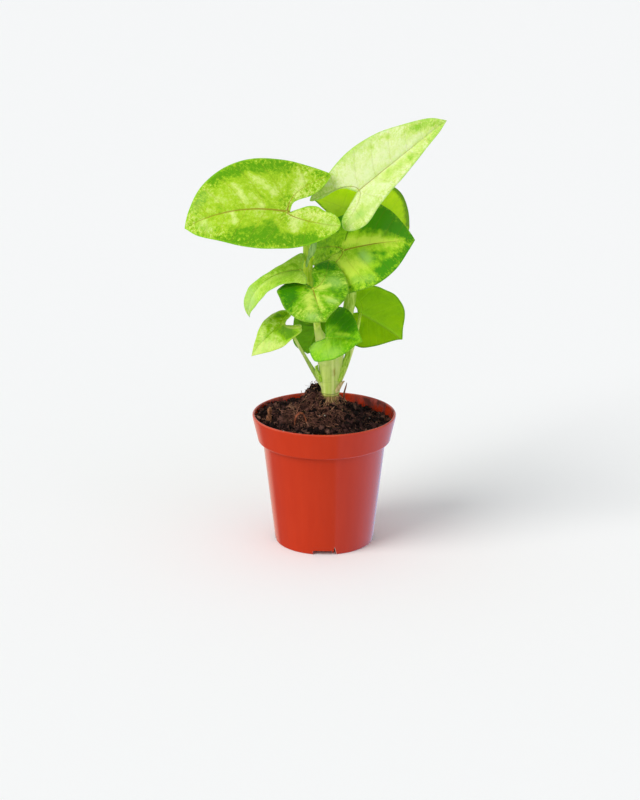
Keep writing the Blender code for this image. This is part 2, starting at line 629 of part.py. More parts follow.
def edge_wave(leaf, side, foot, end, edge_share, s):
    """How far the blade's surface waves up or down, most at its edge."""
    reach = math.dist(foot, end) / (0.3 * leaf["width"][side])
    size = EDGE_WAVE * s ** 2 * min(reach, 1.0) * math.sin(math.pi * edge_share)
    return size * math.sin(2 * math.pi * EDGE_WAVES * edge_share + 1.3 * side)


def bend(leaf, side, u, v, lift):
    """Bend a flat point of a half blade and place it in space."""
    fold = math.radians(leaf["fold"][side])
    curl = math.radians(leaf["curl"][side]) / leaf["width"][side]
    out = (math.sin(fold + curl * v) - math.sin(fold)) / curl
    rise = (math.cos(fold) - math.cos(fold + curl * v)) / curl + lift
    if u >= 0:
        turn = math.radians(leaf["droop"]) / leaf["length"]
    else:
        turn = math.radians(leaf["hang"][side]) / leaf["lobe"][side]
    turn = turn or 1e-6
    forward = math.sin(turn * u) / turn
    down = (1 - math.cos(turn * u)) / turn
    sideways = out if side == 0 else -out
    if leaf["sweep"] and u > 0:
        sweep = math.radians(leaf["sweep"]) / leaf["length"]
        forward += math.sin(sweep * u) / sweep - u - sideways * math.sin(sweep * u)
        sideways = (1 - math.cos(sweep * u)) / sweep + sideways * math.cos(sweep * u)
    along, left, up = leaf_axes(leaf)
    forward += rise * math.sin(turn * u)
    height = rise * math.cos(turn * u) - down
    return Vector(leaf["at"]) + along * forward + left * sideways + up * height


def blade_mesh(name, leaf):
    """The open middle surface of a blade, in triangles, so that both its faces split alike."""
    vertices = []
    triangles = []
    known = {}
    for side in (0, 1):
        for run in half_lines(leaf, side):
            ids = []
            for foot, end, edge_share, curve in run:
                ids.append([])
                for u, v, s in line_points(foot, end, curve):
                    place = (side if v > 1e-8 else 2, round(u, 8), round(v, 8))
                    if place not in known:
                        known[place] = len(vertices)
                        lift = edge_wave(leaf, side, foot, end, edge_share, s)
                        vertices.append(bend(leaf, side, u, v, lift))
                    ids[-1].append(known[place])
            triangles += grid_triangles(ids, flip=side == 1)
    mesh = bpy.data.meshes.new(name)
    mesh.from_pydata(vertices, [], triangles)
    return mesh


def grid_triangles(ids, flip):
    """Two triangles for each cell between neighbouring lines, without the empty ones."""
    triangles = []
    for near, far in zip(ids, ids[1:]):
        for row in range(BLADE_ROWS):
            quad = [near[row], near[row + 1], far[row + 1], far[row]]
            for triangle in (quad[:3], [quad[0], quad[2], quad[3]]):
                if len(set(triangle)) == 3:
                    triangles.append(triangle[::-1] if flip else triangle)
    return triangles


def make_leaf(name, leaf, parts, finish):
    """A leaf blade: its middle surface given the blade's thickness."""
    blade = place_part(name, blade_mesh(name, leaf), parts, finish)
    shell = blade.modifiers.new("thickness", "SOLIDIFY")
    shell.thickness = BLADE_THICKNESS
    shell.offset = 0.0
    shell.use_even_offset = False


# Loose pieces on the soil


def make_husk(parts):
    """A dry husk strip bent to a hoop, both ends in the soil."""
    finish = material("dry_husk", (0.40, 0.17, 0.07), 0.8)
    (left_x, left_y), (right_x, right_y) = HUSK_FEET
    across = Vector((left_y - right_y, right_x - left_x, 0.0)).normalized() * HUSK_WIDTH / 2
    vertices = []
    for i in range(HUSK_STEPS + 1):
        angle = math.pi * i / HUSK_STEPS
        share = (1 - math.cos(angle)) / 2
        rise = math.sin(angle) ** 0.7
        x = left_x + (right_x - left_x) * share
        y = left_y + (right_y - left_y) * share
        middle = Vector((x, y, HUSK_ROOT + (HUSK_TOP - HUSK_ROOT) * rise))
        vertices += [middle - across, middle + across]
    strips = []
    for i in range(HUSK_STEPS):
        a, b, c, d = 2 * i, 2 * i + 1, 2 * i + 3, 2 * i + 2
        strips += [(a, b, c), (a, c, d)]
    mesh = bpy.data.meshes.new("husk")
    mesh.from_pydata(vertices, [], strips)
    husk = place_part("husk", mesh, parts, finish)
    shell = husk.modifiers.new("thickness", "SOLIDIFY")
    shell.thickness = HUSK_THICKNESS
    shell.offset = 0.0
    shell.use_even_offset = False


def make_bark(parts):
    """A chip of bark standing in the soil."""
    finish = material("bark", (0.32, 0.16, 0.09), 0.85)
    foot = Vector(BARK_FOOT)
    top = Vector(BARK_TOP)
    shape = [(0.0, 1.0), (0.35, 0.95), (0.6, 0.6), (0.8, 0.85), (0.93, 0.75), (1.0, 0.35)]
    points = [(*foot.lerp(top, share), BARK_RADIUS * size) for share, size in shape]
    place_part("bark_chip", tube_mesh("bark_chip", points, TUBE_RESOLUTION), parts, finish)


# The whole plant

for old in list(bpy.data.objects):
    bpy.data.objects.remove(old)
plant = collection("arrowhead_plant")
tools = collection("cutters")
make_pot(plant, tools)
make_soil(plant, tools)
make_stem(plant)
make_rolled_leaf(plant)
leaf_finish = material("leaf_green", (0.30, 0.55, 0.06), 0.4)
for leaf_name, leaf_values in LEAVES.items():
    make_leaf(leaf_name, leaf_values, plant, leaf_finish)
make_husk(plant)
make_bark(plant)
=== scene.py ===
"""Arrowhead plant in a small plastic nursery pot: the looks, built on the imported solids."""

import math

import bmesh
import bpy
import numpy as np
from mathutils import Matrix, Vector, noise


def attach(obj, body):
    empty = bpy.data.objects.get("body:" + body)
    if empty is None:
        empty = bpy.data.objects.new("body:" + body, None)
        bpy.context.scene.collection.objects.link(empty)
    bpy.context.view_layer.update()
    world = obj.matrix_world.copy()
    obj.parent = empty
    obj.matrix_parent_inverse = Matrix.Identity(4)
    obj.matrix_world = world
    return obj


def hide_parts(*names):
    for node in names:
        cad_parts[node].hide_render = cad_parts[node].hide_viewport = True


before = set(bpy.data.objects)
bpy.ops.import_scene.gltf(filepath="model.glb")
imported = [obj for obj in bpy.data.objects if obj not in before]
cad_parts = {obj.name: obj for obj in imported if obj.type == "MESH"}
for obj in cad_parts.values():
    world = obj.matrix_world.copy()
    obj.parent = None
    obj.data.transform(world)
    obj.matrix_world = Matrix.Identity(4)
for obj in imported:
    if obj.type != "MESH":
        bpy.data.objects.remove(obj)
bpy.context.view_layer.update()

# The view
# A pale paper sweep under an even sky, with a wide soft light from the upper left in front and a weaker
# one from the right. The camera looks a little down. Below its horizon the sky has two brighter cards,
# which show only as gloss on the pot, because the sweep is left out of mirrored light.

FOCAL_LENGTH = 1782.0  # in pixels of the photograph
PICTURE_HEIGHT = 800.0  # in pixels, along the sensor's long side
SENSOR_HEIGHT = 36.0  # in millimetres
CAMERA_PLACE = (-0.0016, -0.650, 0.260)
CAMERA_TILT = 17.42  # degrees below level
SKY_STRENGTH = 0.61
SKY_OVERHEAD = (0.84, 0.87, 0.90)
SKY_HORIZON = (1.64, 1.65, 1.66)
SKY_BELOW = (0.24, 0.26, 0.31)
RIGHT_CARD = (1.05, 1.35, 1.85)
LEFT_CARD = (2.4, 1.8, 1.5)
SWEEP_REACH = 30.0

scene = bpy.context.scene
scene.view_settings.view_transform = "Standard"


def place(name, data):
    """An object of that mesh, lamp or camera, in the scene."""
    made = bpy.data.objects.new(name, data)
    scene.collection.objects.link(made)
    return made


def mesh_of(name, vertices, faces):
    """A mesh of those vertices and faces."""
    mesh = bpy.data.meshes.new(name)
    mesh.from_pydata(vertices, [], faces)
    return mesh


class Value:
    """A socket in a material's nodes: maths on it adds Math nodes, and node() adds any other node."""

    def __init__(self, socket):
        self.socket = socket

    def node(self, kind, settings=None, inputs=None, output=0):
        """Another node in the same material, its settings and sockets filled, as one of its outputs."""
        tree = self.socket.id_data
        made = tree.nodes.new(kind)
        for setting, value in (settings or {}).items():
            setattr(made, setting, value)
        for key, value in (inputs or {}).items():
            feed(made.inputs[key], value)
        return Value(made.outputs[output])

    def maths(self, operation, *others):
        """A Math node on this value and others."""
        return self.node("ShaderNodeMath", {"operation": operation}, dict(enumerate((self, *others))))

    def __add__(self, other):
        return self.maths("ADD", other)

    def __sub__(self, other):
        return self.maths("SUBTRACT", other)

    def __mul__(self, other):
        return self.maths("MULTIPLY", other)

    def __neg__(self):
        return self.maths("MULTIPLY", -1.0)

    def step(self, low, high):
        """0 under low and 1 over high, turning smoothly between them; low may be the larger."""
        settings = {"interpolation_type": "SMOOTHSTEP"}
        return self.node("ShaderNodeMapRange", settings, {"Value": self, "From Min": low, "From Max": high})

    def paint(self, under, over):
        """A colour: under where this value is 0 and over where it is 1."""
        return self.node("ShaderNodeMix", {"data_type": "RGBA"}, {0: self, 6: under, 7: over}, 2)

    def shades(self, *stops):
        """A colour that runs through stops of (value, colour)."""
        made = self.node("ShaderNodeValToRGB", {}, {"Fac": self})
        elements = made.socket.node.color_ramp.elements
        while len(elements) < len(stops):
            elements.new(0.5)
        for element, (level, colour) in zip(elements, stops):
            element.position = level
            element.color = (*colour, 1.0)
        return made

    def part(self, axis):
        """One part of this vector, by its axis."""
        return self.node("ShaderNodeSeparateXYZ", {}, {0: self}, axis)

    def mark(self, label, output="Fac"):
        """What the mesh carries under that name, in the same material."""
        return self.node("ShaderNodeAttribute", {"attribute_name": label}, {}, output)

    def grain(self, scale, detail=2.0, roughness=0.5, warp=0.0, stretch=(1.0, 1.0, 1.0)):
        """Noise between 0 and 1 over this vector, in grains of 1 / scale metres."""
        stretched = self.node("ShaderNodeMapping", {}, {"Vector": self, "Scale": stretch})
        inputs = {"Vector": stretched, "Scale": scale, "Detail": detail, "Roughness": roughness}
        return self.node("ShaderNodeTexNoise", {}, {**inputs, "Distortion": warp})


def feed(socket, value):
    """Link a value into a socket, or set it there."""
    if isinstance(value, Value):
        socket.id_data.links.new(value.socket, socket)
    elif isinstance(value, tuple) and len(value) == 3 and socket.type == "RGBA":
        socket.default_value = (*value, 1.0)
    else:
        socket.default_value = value


def finish_of(name, roughness=0.5, specular=0.5):
    """A new Principled material, with its shader and the place on the object as a value."""
    made = bpy.data.materials.new(name)
    made.use_nodes = True
    shader = made.node_tree.nodes["Principled BSDF"]
    shader.inputs["Roughness"].default_value = roughness
    shader.inputs["Specular IOR Level"].default_value = specular
    where = made.node_tree.nodes.new("ShaderNodeTexCoord")
    return made, shader, Value(where.outputs["Object"])


eye = bpy.data.cameras.new("camera")
eye.sensor_width = SENSOR_HEIGHT
eye.lens = FOCAL_LENGTH / PICTURE_HEIGHT * SENSOR_HEIGHT
eye.clip_end = 20.0
camera = place("camera", eye)
camera.location = CAMERA_PLACE
camera.rotation_euler = (math.radians(90.0 - CAMERA_TILT), 0.0, 0.0)
scene.camera = camera

sky = bpy.data.worlds.new("sky")
scene.world = sky
sky.use_nodes = True
sky_light = sky.node_tree.nodes["Background"]
sky_light.inputs["Strength"].default_value = SKY_STRENGTH
towards = Value(sky.node_tree.nodes.new("ShaderNodeTexCoord").outputs["Generated"])
bearing = towards.part("X").maths("ARCTAN2", -towards.part("Y"))
upward = towards.part("Z")
right_card = bearing.step(math.radians(21.0), math.radians(28.0))
right_card = right_card * (bearing.step(math.radians(40.0), math.radians(130.0)) * 0.75 + 0.35)
left_card = bearing.step(math.radians(-128.0), math.radians(-146.0)) * 0.6
low_side = left_card.paint(right_card.paint(SKY_BELOW, RIGHT_CARD), LEFT_CARD)
high_side = upward.step(0.02, 0.35).paint(SKY_HORIZON, SKY_OVERHEAD)
feed(sky_light.inputs["Color"], upward.step(-0.10, -0.02).paint(low_side, high_side))


def soft_light(name, bearing, height, power, spread, colour):
    """Even light from one direction, in degrees to the right of the front and up, as from a wide screen."""
    lamp = bpy.data.lights.new(name, "SUN")
    lamp.energy = power
    lamp.angle = math.radians(spread)
    lamp.color = colour
    made = place(name, lamp)
    around = math.radians(bearing)
    up = math.radians(height)
    towards = Vector((math.cos(up) * math.sin(around), -math.cos(up) * math.cos(around), math.sin(up)))
    made.rotation_euler = towards.to_track_quat("Z", "Y").to_euler()
    made.visible_glossy = False


soft_light("window", bearing=-56.0, height=38.0, power=2.0, spread=40.0, colour=(1.0, 0.985, 0.95))
soft_light("reflector", bearing=40.0, height=30.0, power=0.22, spread=60.0, colour=(0.94, 0.97, 1.0))

corners = [(x * SWEEP_REACH, y * SWEEP_REACH, 0.0) for x, y in ((-1, -1), (1, -1), (1, 1), (-1, 1))]
sweep = place("sweep", mesh_of("sweep", corners, [(0, 1, 2, 3)]))
paper, shell, _ = finish_of("studio_paper", roughness=0.9, specular=0.1)
feed(shell.inputs["Base Color"], (0.97, 0.97, 0.97))
sweep.data.materials.append(paper)
sweep.visible_glossy = False

# The pot
# A thin-walled nursery pot moulded in terracotta-red polypropylene: a tapered body, a wider collar at
# the rim, and a foot ring with four gaps beside drain holes. It is turned as one shell and cut.

POT_SIDES = 144
POT_HEIGHT = 0.0510
RIM_RADIUS = 0.0275
COLLAR_FOOT_RADIUS = 0.0255
COLLAR_HEIGHT = 0.0105
BODY_TOP_RADIUS = 0.0235
BASE_RADIUS = 0.0190
WALL = 0.0009
FOOT_HEIGHT = 0.0020
FLOOR_DISC_RADIUS = 0.0110
STEP_HEIGHT = POT_HEIGHT - COLLAR_HEIGHT
FOOT_GAPS = 4
GAP_TURN = -0.028
GAP_WIDTH = 0.0075
GAP_HEIGHT = 0.0017
SLIT_WIDTH = 0.0019
SLIT_HEIGHT = 0.0036
DRAIN_RADIUS = 0.0021
INNER_WALL = [
    (BASE_RADIUS - 1.6 * WALL, FOOT_HEIGHT + WALL),
    (BASE_RADIUS - 0.9 * WALL, FOOT_HEIGHT + 1.6 * WALL),
    (BODY_TOP_RADIUS - WALL, STEP_HEIGHT - 0.4 * WALL),
    (COLLAR_FOOT_RADIUS - 1.4 * WALL, STEP_HEIGHT + 0.9 * WALL),
    (COLLAR_FOOT_RADIUS - WALL, STEP_HEIGHT + 1.6 * WALL),
    (RIM_RADIUS - WALL, POT_HEIGHT - 0.5 * WALL),
]
COLLAR_EDGE = 0.0008
FOOT_EDGE = 0.0005
BEVEL = 0.00012
GAP_CORNER = 0.0004
CUTTER_REACH = 0.0021  # how far a cutter reaches to each side of the foot's edge


def relief(shader, height, depth, strength=1.0):
    """Bump from a height between 0 and 1 that stands for depth metres."""
    bump = height.node("ShaderNodeBump", {}, {"Height": height, "Distance": depth, "Strength": strength})
    feed(shader.inputs["Normal"], bump)


def rgb(red, green, blue):
    """A display colour of 0 to 255 as the light it stands for."""
    shares = [c / 255 for c in (red, green, blue)]
    return tuple(c / 12.92 if c <= 0.04045 else ((c + 0.055) / 1.055) ** 2.4 for c in shares)


def arc(centre, radius, start, end, steps):
    """Points of (radius, height) on an arc between two angles in degrees."""
    angles = [math.radians(start + (end - start) * i / steps) for i in range(steps + 1)]
    return [(centre[0] + radius * math.cos(a), centre[1] + radius * math.sin(a)) for a in angles]


def turned(name, profile, sides):
    """A closed mesh turned round Z; the profile runs out along a top face and ends on the axis below."""
    vertices = []
    rings = []
    faces = []
    for radius, height in profile:
        count = sides if radius > 1e-7 else 1
        rings.append(range(len(vertices), len(vertices) + count))
        turns = [2 * math.pi * k / count for k in range(count)]
        vertices += [(radius * math.cos(a), radius * math.sin(a), height) for a in turns]
    for near, far in zip(rings, rings[1:]):
        for k in range(sides):
            after = (k + 1) % sides
            quad = [near[k % len(near)], far[k % len(far)], far[after % len(far)], near[after % len(near)]]
            faces.append(list(dict.fromkeys(quad)))
    return mesh_of(name, vertices, faces)


def settled(piece):
    """The piece's mesh with its modifiers applied, in a plain object of the same name."""
    bpy.context.view_layer.update()
    name = piece.name
    mesh = bpy.data.meshes.new_from_object(piece.evaluated_get(bpy.context.evaluated_depsgraph_get()))
    bpy.data.objects.remove(piece)
    mesh.name = name
    return place(name, mesh)


def wear(piece, finish):
    """Shade a piece smooth, and give it that one material."""
    piece.data.shade_smooth()
    piece.data.materials.clear()
    piece.data.materials.append(finish)


def cut_away(piece, cutters):
    """Take the cutters' shapes out of a piece."""
    for cutter in cutters:
        taken = piece.modifiers.new("cut", "BOOLEAN")
        taken.operation = "DIFFERENCE"
        taken.solver = "EXACT"
        taken.object = cutter
    piece = settled(piece)
    for cutter in cutters:
        bpy.data.objects.remove(cutter)
    return piece


def ring_faces(rings, sides, first=0):
    """The quads between rings of vertices that follow one another from the first one."""
    faces = []
    for start in range(first, first + (rings - 1) * sides, sides):
        for k in range(sides):
            a, b = start + k, start + (k + 1) % sides
            faces.append([a, b, b + sides, a + sides])
    return faces


def foot_cutter(name, angle, outline):
    """A short bar through the foot ring at an angle, of a cross section given as (across, height)."""
    count = len(outline)
    depths = (BASE_RADIUS - CUTTER_REACH, BASE_RADIUS + CUTTER_REACH)
    vertices = [(depth, across, height) for depth in depths for across, height in outline]
    faces = [list(range(count))[::-1], list(range(count, 2 * count)), *ring_faces(2, count)]
    mesh = mesh_of(name, vertices, faces)
    mesh.transform(Matrix.Rotation(angle, 4, "Z"))
    return place(name, mesh)


def pot_profile():
    """From the middle of the floor's inside, up and over the rim, and down under the floor."""
    lip = WALL / 2
    floor = [
        (0.0, WALL),
        (FLOOR_DISC_RADIUS - 0.4 * WALL, WALL),
        (FLOOR_DISC_RADIUS + 0.7 * WALL, FOOT_HEIGHT + WALL),
    ]
    rim = arc((RIM_RADIUS - lip, POT_HEIGHT - lip), lip, 170, -8, 12)
    collar = [(RIM_RADIUS - BEVEL, POT_HEIGHT - 1.6 * WALL)]
    collar += arc((COLLAR_FOOT_RADIUS - COLLAR_EDGE, STEP_HEIGHT + COLLAR_EDGE), COLLAR_EDGE, 8, -90, 8)
    step = [(BODY_TOP_RADIUS + 0.5 * WALL, STEP_HEIGHT), (BODY_TOP_RADIUS + BEVEL, STEP_HEIGHT - BEVEL),
            (BODY_TOP_RADIUS, STEP_HEIGHT - 0.0005)]
    foot = arc((BASE_RADIUS - 0.8 * FOOT_EDGE, FOOT_EDGE), FOOT_EDGE, 0, -90, 5)
    under = [
        (BASE_RADIUS - WALL, 0.0),
        (BASE_RADIUS - 1.1 * WALL, FOOT_HEIGHT),
        (FLOOR_DISC_RADIUS + 0.9 * WALL, FOOT_HEIGHT),
        (FLOOR_DISC_RADIUS, 0.0),
        (0.0, 0.0),
    ]
    return floor + INNER_WALL[:-1] + rim + collar + step + foot + under


pot = place("pot_shell", turned("pot_shell", pot_profile(), POT_SIDES))
half = GAP_WIDTH / 2
bridge = [(-half, -0.001), (half, -0.001), (half, GAP_HEIGHT - GAP_CORNER), (half - GAP_CORNER, GAP_HEIGHT),
          (GAP_CORNER - half, GAP_HEIGHT), (-half, GAP_HEIGHT - GAP_CORNER)]
slit = [(-SLIT_WIDTH / 2, -0.0002), (SLIT_WIDTH / 2, -0.0002), (0.0, SLIT_HEIGHT - 0.0002)]
slit_turn = (GAP_WIDTH + 0.8 * SLIT_WIDTH) / 2 / BASE_RADIUS
drain_reach = (FLOOR_DISC_RADIUS + BASE_RADIUS) / 2 - 0.0003
drain_profile = [(0.0, 0.005), (DRAIN_RADIUS, 0.005), (DRAIN_RADIUS, 0.0005), (0.0, 0.0005)]
cutters = []
for i in range(FOOT_GAPS):
    turn = -math.pi / 2 + GAP_TURN + 2 * math.pi * i / FOOT_GAPS
    cutters.append(foot_cutter("foot_gap", turn, bridge))
    cutters.append(foot_cutter("foot_slit", turn + slit_turn, slit))
    drain = turned("drain", drain_profile, 32)
    drain.transform(Matrix.Translation((drain_reach * math.cos(turn), drain_reach * math.sin(turn), 0.0)))
    cutters.append(place("drain", drain))
pot = cut_away(pot, cutters)

terracotta, shell, spot = finish_of("terracotta_plastic", roughness=0.2, specular=0.5)
flow = spot.grain(420.0, detail=3.0, stretch=(1.0, 1.0, 0.06))
cloud = spot.grain(70.0, detail=2.0)
heights = spot.part("Z")
flat_spot = spot.node("ShaderNodeVectorMath", {"operation": "MULTIPLY"}, {0: spot, 1: (1.0, 1.0, 0.0)})
from_axis = flat_spot.node("ShaderNodeVectorMath", {"operation": "LENGTH"}, {0: flat_spot}, "Value")
red = (flow * 0.6 + cloud * 0.4).paint(rgb(180, 46, 15), rgb(196, 56, 20))
collar_slope = (RIM_RADIUS - COLLAR_FOOT_RADIUS) / (POT_HEIGHT - 0.5 * WALL - STEP_HEIGHT - 1.6 * WALL)
wall_inside = (heights - (STEP_HEIGHT + 1.6 * WALL)) * collar_slope + (COLLAR_FOOT_RADIUS - WALL)
inside = (from_axis - wall_inside).step(0.45 * WALL, 0.2 * WALL) * heights.step(0.040, 0.044)
smudge = inside * spot.grain(230.0, detail=4.0, roughness=0.65).step(0.42, 0.62)
red = (smudge * 0.8).paint(red, rgb(48, 28, 22))
dust = spot.grain(1100.0, detail=4.0, roughness=0.7).step(0.57, 0.68)
dusty = inside.maths("MAXIMUM", heights.step(0.0506, 0.0509) * 0.5)
red = (dust * dusty * 0.8).paint(red, rgb(58, 36, 30))
# A paler band along the rim's top edge: partly wear, partly a painted highlight.
lip = (heights - (POT_HEIGHT - 0.0004)).step(-0.0003, 0.0001) * cloud.step(0.3, 0.6)
red = (lip * 0.4).paint(red, rgb(206, 92, 62))
feed(shell.inputs["Base Color"], red)
feed(shell.inputs["Roughness"], smudge * 0.4 + cloud * 0.08 + 0.10)
relief(shell, flow, 0.000012)
wear(pot, terracotta)
pot.data.set_sharp_from_angle(angle=math.radians(35))
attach(pot, "root")
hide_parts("pot")

# The soil
# Dark peat compost that fills the pot and heaps up round the stem. Its top is crumbly, with loose crumbs,
# white perlite, and brown root fibres that lie over it.

SOIL_LEVEL = 0.0483
SOIL_SLOPE = 0.05
BEDDING = 0.0003  # between the soil and the pot's wall
MOUND = ((0.0015, 0.0030), 0.0080, 0.0090)  # place, height and spread
CLUMP = ((-0.0040, 0.0035), 0.0050, 0.0025)
HOLLOW = ((0.0160, 0.0160), -0.0012, 0.0100)
CLUMP_REACH = 0.0032  # how far its loose crumbs lie
RIPPLE = 0.0007
CRUMB_SIZES = ((0.0030, 0.45), (0.0013, 0.35), (0.0006, 0.2))  # size and share of the relief
CRUMB_RELIEF = 0.0017
CLUMP_RELIEF = 0.0014
ROOTY = (-0.0030, -0.0035, 0.0118)  # x, y and reach of the place that is matted with roots
MATTING = (-0.0060, -0.0050, SOIL_LEVEL)  # middle of the place where the crumbs look matted with fibres
STEM_FOOT = 0.0480  # height of the stem's lower end
STEM_PIT = (0.0021, 0.0030, 0.0036)  # x, y and radius
STREWN_TO_STEM = 0.0006  # what strewn crumbs and fibres keep clear of the pit
STREWN_TO_POT = 0.0007  # and of the pot's wall
SOIL_RINGS = 96
SOIL_SIDES = 240


def noise_at(x, y, z):
    """Smooth noise between about -1 and 1 at a place."""
    return noise.noise(Vector((x, y, z)))


def inner_radius(height):
    """Radius of the pot's inner wall at a height."""
    return float(np.interp(height, [h for _, h in INNER_WALL], [r for r, _ in INNER_WALL]))


def bell(x, y, middle, height, spread):
    """A round rise, highest at its middle."""
    square = (x - middle[0]) ** 2 + (y - middle[1]) ** 2
    return height * math.exp(-square / (2 * spread ** 2))


def soil_height(x, y):
    """Height of the soil's surface without its crumbs."""
    height = SOIL_LEVEL - SOIL_SLOPE * x + RIPPLE * noise_at(x * 300, y * 300, 0.4)
    return height + sum(bell(x, y, *rise) for rise in (MOUND, CLUMP, HOLLOW))


def crumb_height(x, y):
    """The crumbs on the surface: rounded lumps of a few sizes."""
    height = 0.0
    for size, share in CRUMB_SIZES:
        near = noise.voronoi(Vector((x / size, y / size, 7.0 * share)))[0][0]
        height += share * (0.6 - near)
    return (CRUMB_RELIEF + CLUMP_RELIEF * bell(x, y, CLUMP[0], 1.0, 0.0030)) * height


def soil_surface():
    """The soil's solid: a finely ringed crumbly top, a wall along the pot's, and a plain underside."""
    rim_radius = inner_radius(SOIL_LEVEL) - BEDDING
    profile = [(rim_radius * (i / SOIL_RINGS) ** 0.8, SOIL_LEVEL) for i in range(SOIL_RINGS + 1)]
    profile += [(radius - BEDDING, height + BEDDING) for radius, height in reversed(INNER_WALL[1:5])]
    profile += [
        (BASE_RADIUS - 1.6 * WALL - BEDDING, FOOT_HEIGHT + WALL + BEDDING),
        (FLOOR_DISC_RADIUS + 0.9 * WALL - BEDDING, FOOT_HEIGHT + WALL + BEDDING),
        (FLOOR_DISC_RADIUS - 0.4 * WALL - BEDDING, WALL + BEDDING),
        (0.0, WALL + BEDDING),
    ]
    mesh = turned("soil_bed", profile, SOIL_SIDES)
    for vertex in mesh.vertices:
        x, y, z = vertex.co
        if z < SOIL_LEVEL - 1e-5:
            continue
        radius = math.hypot(x, y)
        height = soil_height(x, y) + crumb_height(x, y)
        if radius > rim_radius - 1e-5:
            grow = (inner_radius(height) - 0.5 * BEDDING) / radius
            x, y = x * grow, y * grow
        if math.hypot(x - STEM_PIT[0], y - STEM_PIT[1]) < STEM_PIT[2]:
            height = STEM_FOOT - BEDDING
        vertex.co = (x, y, height)
    return mesh


peat, shell, spot = finish_of("peat", roughness=0.95, specular=0.15)
clods = spot.grain(420.0, detail=5.0, roughness=0.7)
grit = spot.grain(1900.0, detail=4.0, roughness=0.75)
brown = clods.step(0.35, 0.65).paint(rgb(14, 9, 8), rgb(50, 32, 28))
brown = (grit.step(0.56, 0.68) * 0.6).paint(brown, rgb(98, 64, 50))
brown = (spot.grain(150.0, detail=2.0).step(0.5, 0.68) * 0.8).paint(brown, rgb(26, 18, 15))
feed(shell.inputs["Base Color"], brown)
relief(shell, clods * 0.5 + grit * 0.5, 0.0006)

soil = place("soil_bed", soil_surface())
wear(soil, peat)


def tree_with(name, sockets):
    """A new node tree for geometry with the named inputs: (name, socket type, value) each."""
    tree = bpy.data.node_groups.new(name, "GeometryNodeTree")
    tree.interface.new_socket("Geometry", in_out="INPUT", socket_type="NodeSocketGeometry")
    tree.interface.new_socket("Geometry", in_out="OUTPUT", socket_type="NodeSocketGeometry")
    for label, kind, value in sockets:
        made = tree.interface.new_socket(label, in_out="INPUT", socket_type=kind)
        if value is not None:
            made.default_value = value
    return tree, tree.nodes.new("NodeGroupInput"), tree.nodes.new("NodeGroupOutput")


def joined(tree, kind, links, **settings):
    """The outputs of a new node in a geometry tree: links gives each socket an output or a value."""
    made = tree.nodes.new(kind)
    for setting, value in settings.items():
        setattr(made, setting, value)
    for key, value in links.items():
        if isinstance(value, bpy.types.NodeSocket):
            tree.links.new(value, made.inputs[key])
        else:
            made.inputs[key].default_value = value
    return made.outputs


def random_value(tree, low, high, seed):
    """A number between low and high, another one for each copy."""
    return joined(tree, "FunctionNodeRandomValue", {2: low, 3: high, "Seed": seed}, data_type="FLOAT")[1]


def scatter_tree():
    """Strews copies of a shape over the faces where the attribute top is 1."""
    tree, given, result = tree_with("strewn", [
        ("Shape", "NodeSocketObject", None), ("Density", "NodeSocketFloat", 1.0e6),
        ("Smallest", "NodeSocketFloat", 0.5), ("Largest", "NodeSocketFloat", 1.0),
        ("Tilt", "NodeSocketFloat", 3.0), ("Seed", "NodeSocketInt", 1),
        ("Finish", "NodeSocketMaterial", None)])
    out = given.outputs
    seed = out["Seed"]
    top = joined(tree, "GeometryNodeInputNamedAttribute", {"Name": "top"}, data_type="FLOAT")
    points = joined(tree, "GeometryNodeDistributePointsOnFaces", {
        "Mesh": out["Geometry"], "Density": out["Density"], "Seed": seed, "Selection": top["Attribute"]})
    size = random_value(tree, out["Smallest"], out["Largest"], seed)
    other_way = joined(tree, "ShaderNodeMath", {0: out["Tilt"], 1: -1.0}, operation="MULTIPLY")
    other_seed = joined(tree, "ShaderNodeMath", {0: seed, 1: 5.0})
    lean = random_value(tree, other_way[0], out["Tilt"], other_seed[0])
    spin = random_value(tree, 0.0, 6.283, seed)
    angles = joined(tree, "ShaderNodeCombineXYZ", {0: lean, 1: lean, 2: spin})
    turn = joined(tree, "FunctionNodeEulerToRotation", {0: angles[0]})
    facing = joined(tree, "FunctionNodeRotateRotation", {
        "Rotation": points["Rotation"], "Rotate By": turn[0]}, rotation_space="LOCAL")
    shape = joined(tree, "GeometryNodeObjectInfo", {"Object": out["Shape"]})
    copies = joined(tree, "GeometryNodeInstanceOnPoints", {
        "Points": points["Points"], "Instance": shape["Geometry"], "Rotation": facing["Rotation"],
        "Scale": size})
    toned = joined(tree, "GeometryNodeStoreNamedAttribute", {
        "Geometry": copies["Instances"], "Name": "tone", "Value": random_value(tree, 0.0, 1.0, 3)},
        data_type="FLOAT", domain="INSTANCE")
    real = joined(tree, "GeometryNodeRealizeInstances", {"Geometry": toned["Geometry"]})
    painted = joined(tree, "GeometryNodeSetMaterial", {
        "Geometry": real["Geometry"], "Material": out["Finish"]})
    tree.links.new(painted["Geometry"], result.inputs["Geometry"])
    return tree


def grown(name, mesh, tree, values):
    """A plain object of what a geometry tree makes from a mesh, with the tree's inputs set by name."""
    piece = place(name, mesh)
    maker = piece.modifiers.new("maker", "NODES")
    maker.node_group = tree
    keys = {s.name: s.identifier for s in tree.interface.items_tree if s.in_out == "INPUT"}
    for label, value in values.items():
        maker[keys[label]] = value
    return settled(piece)


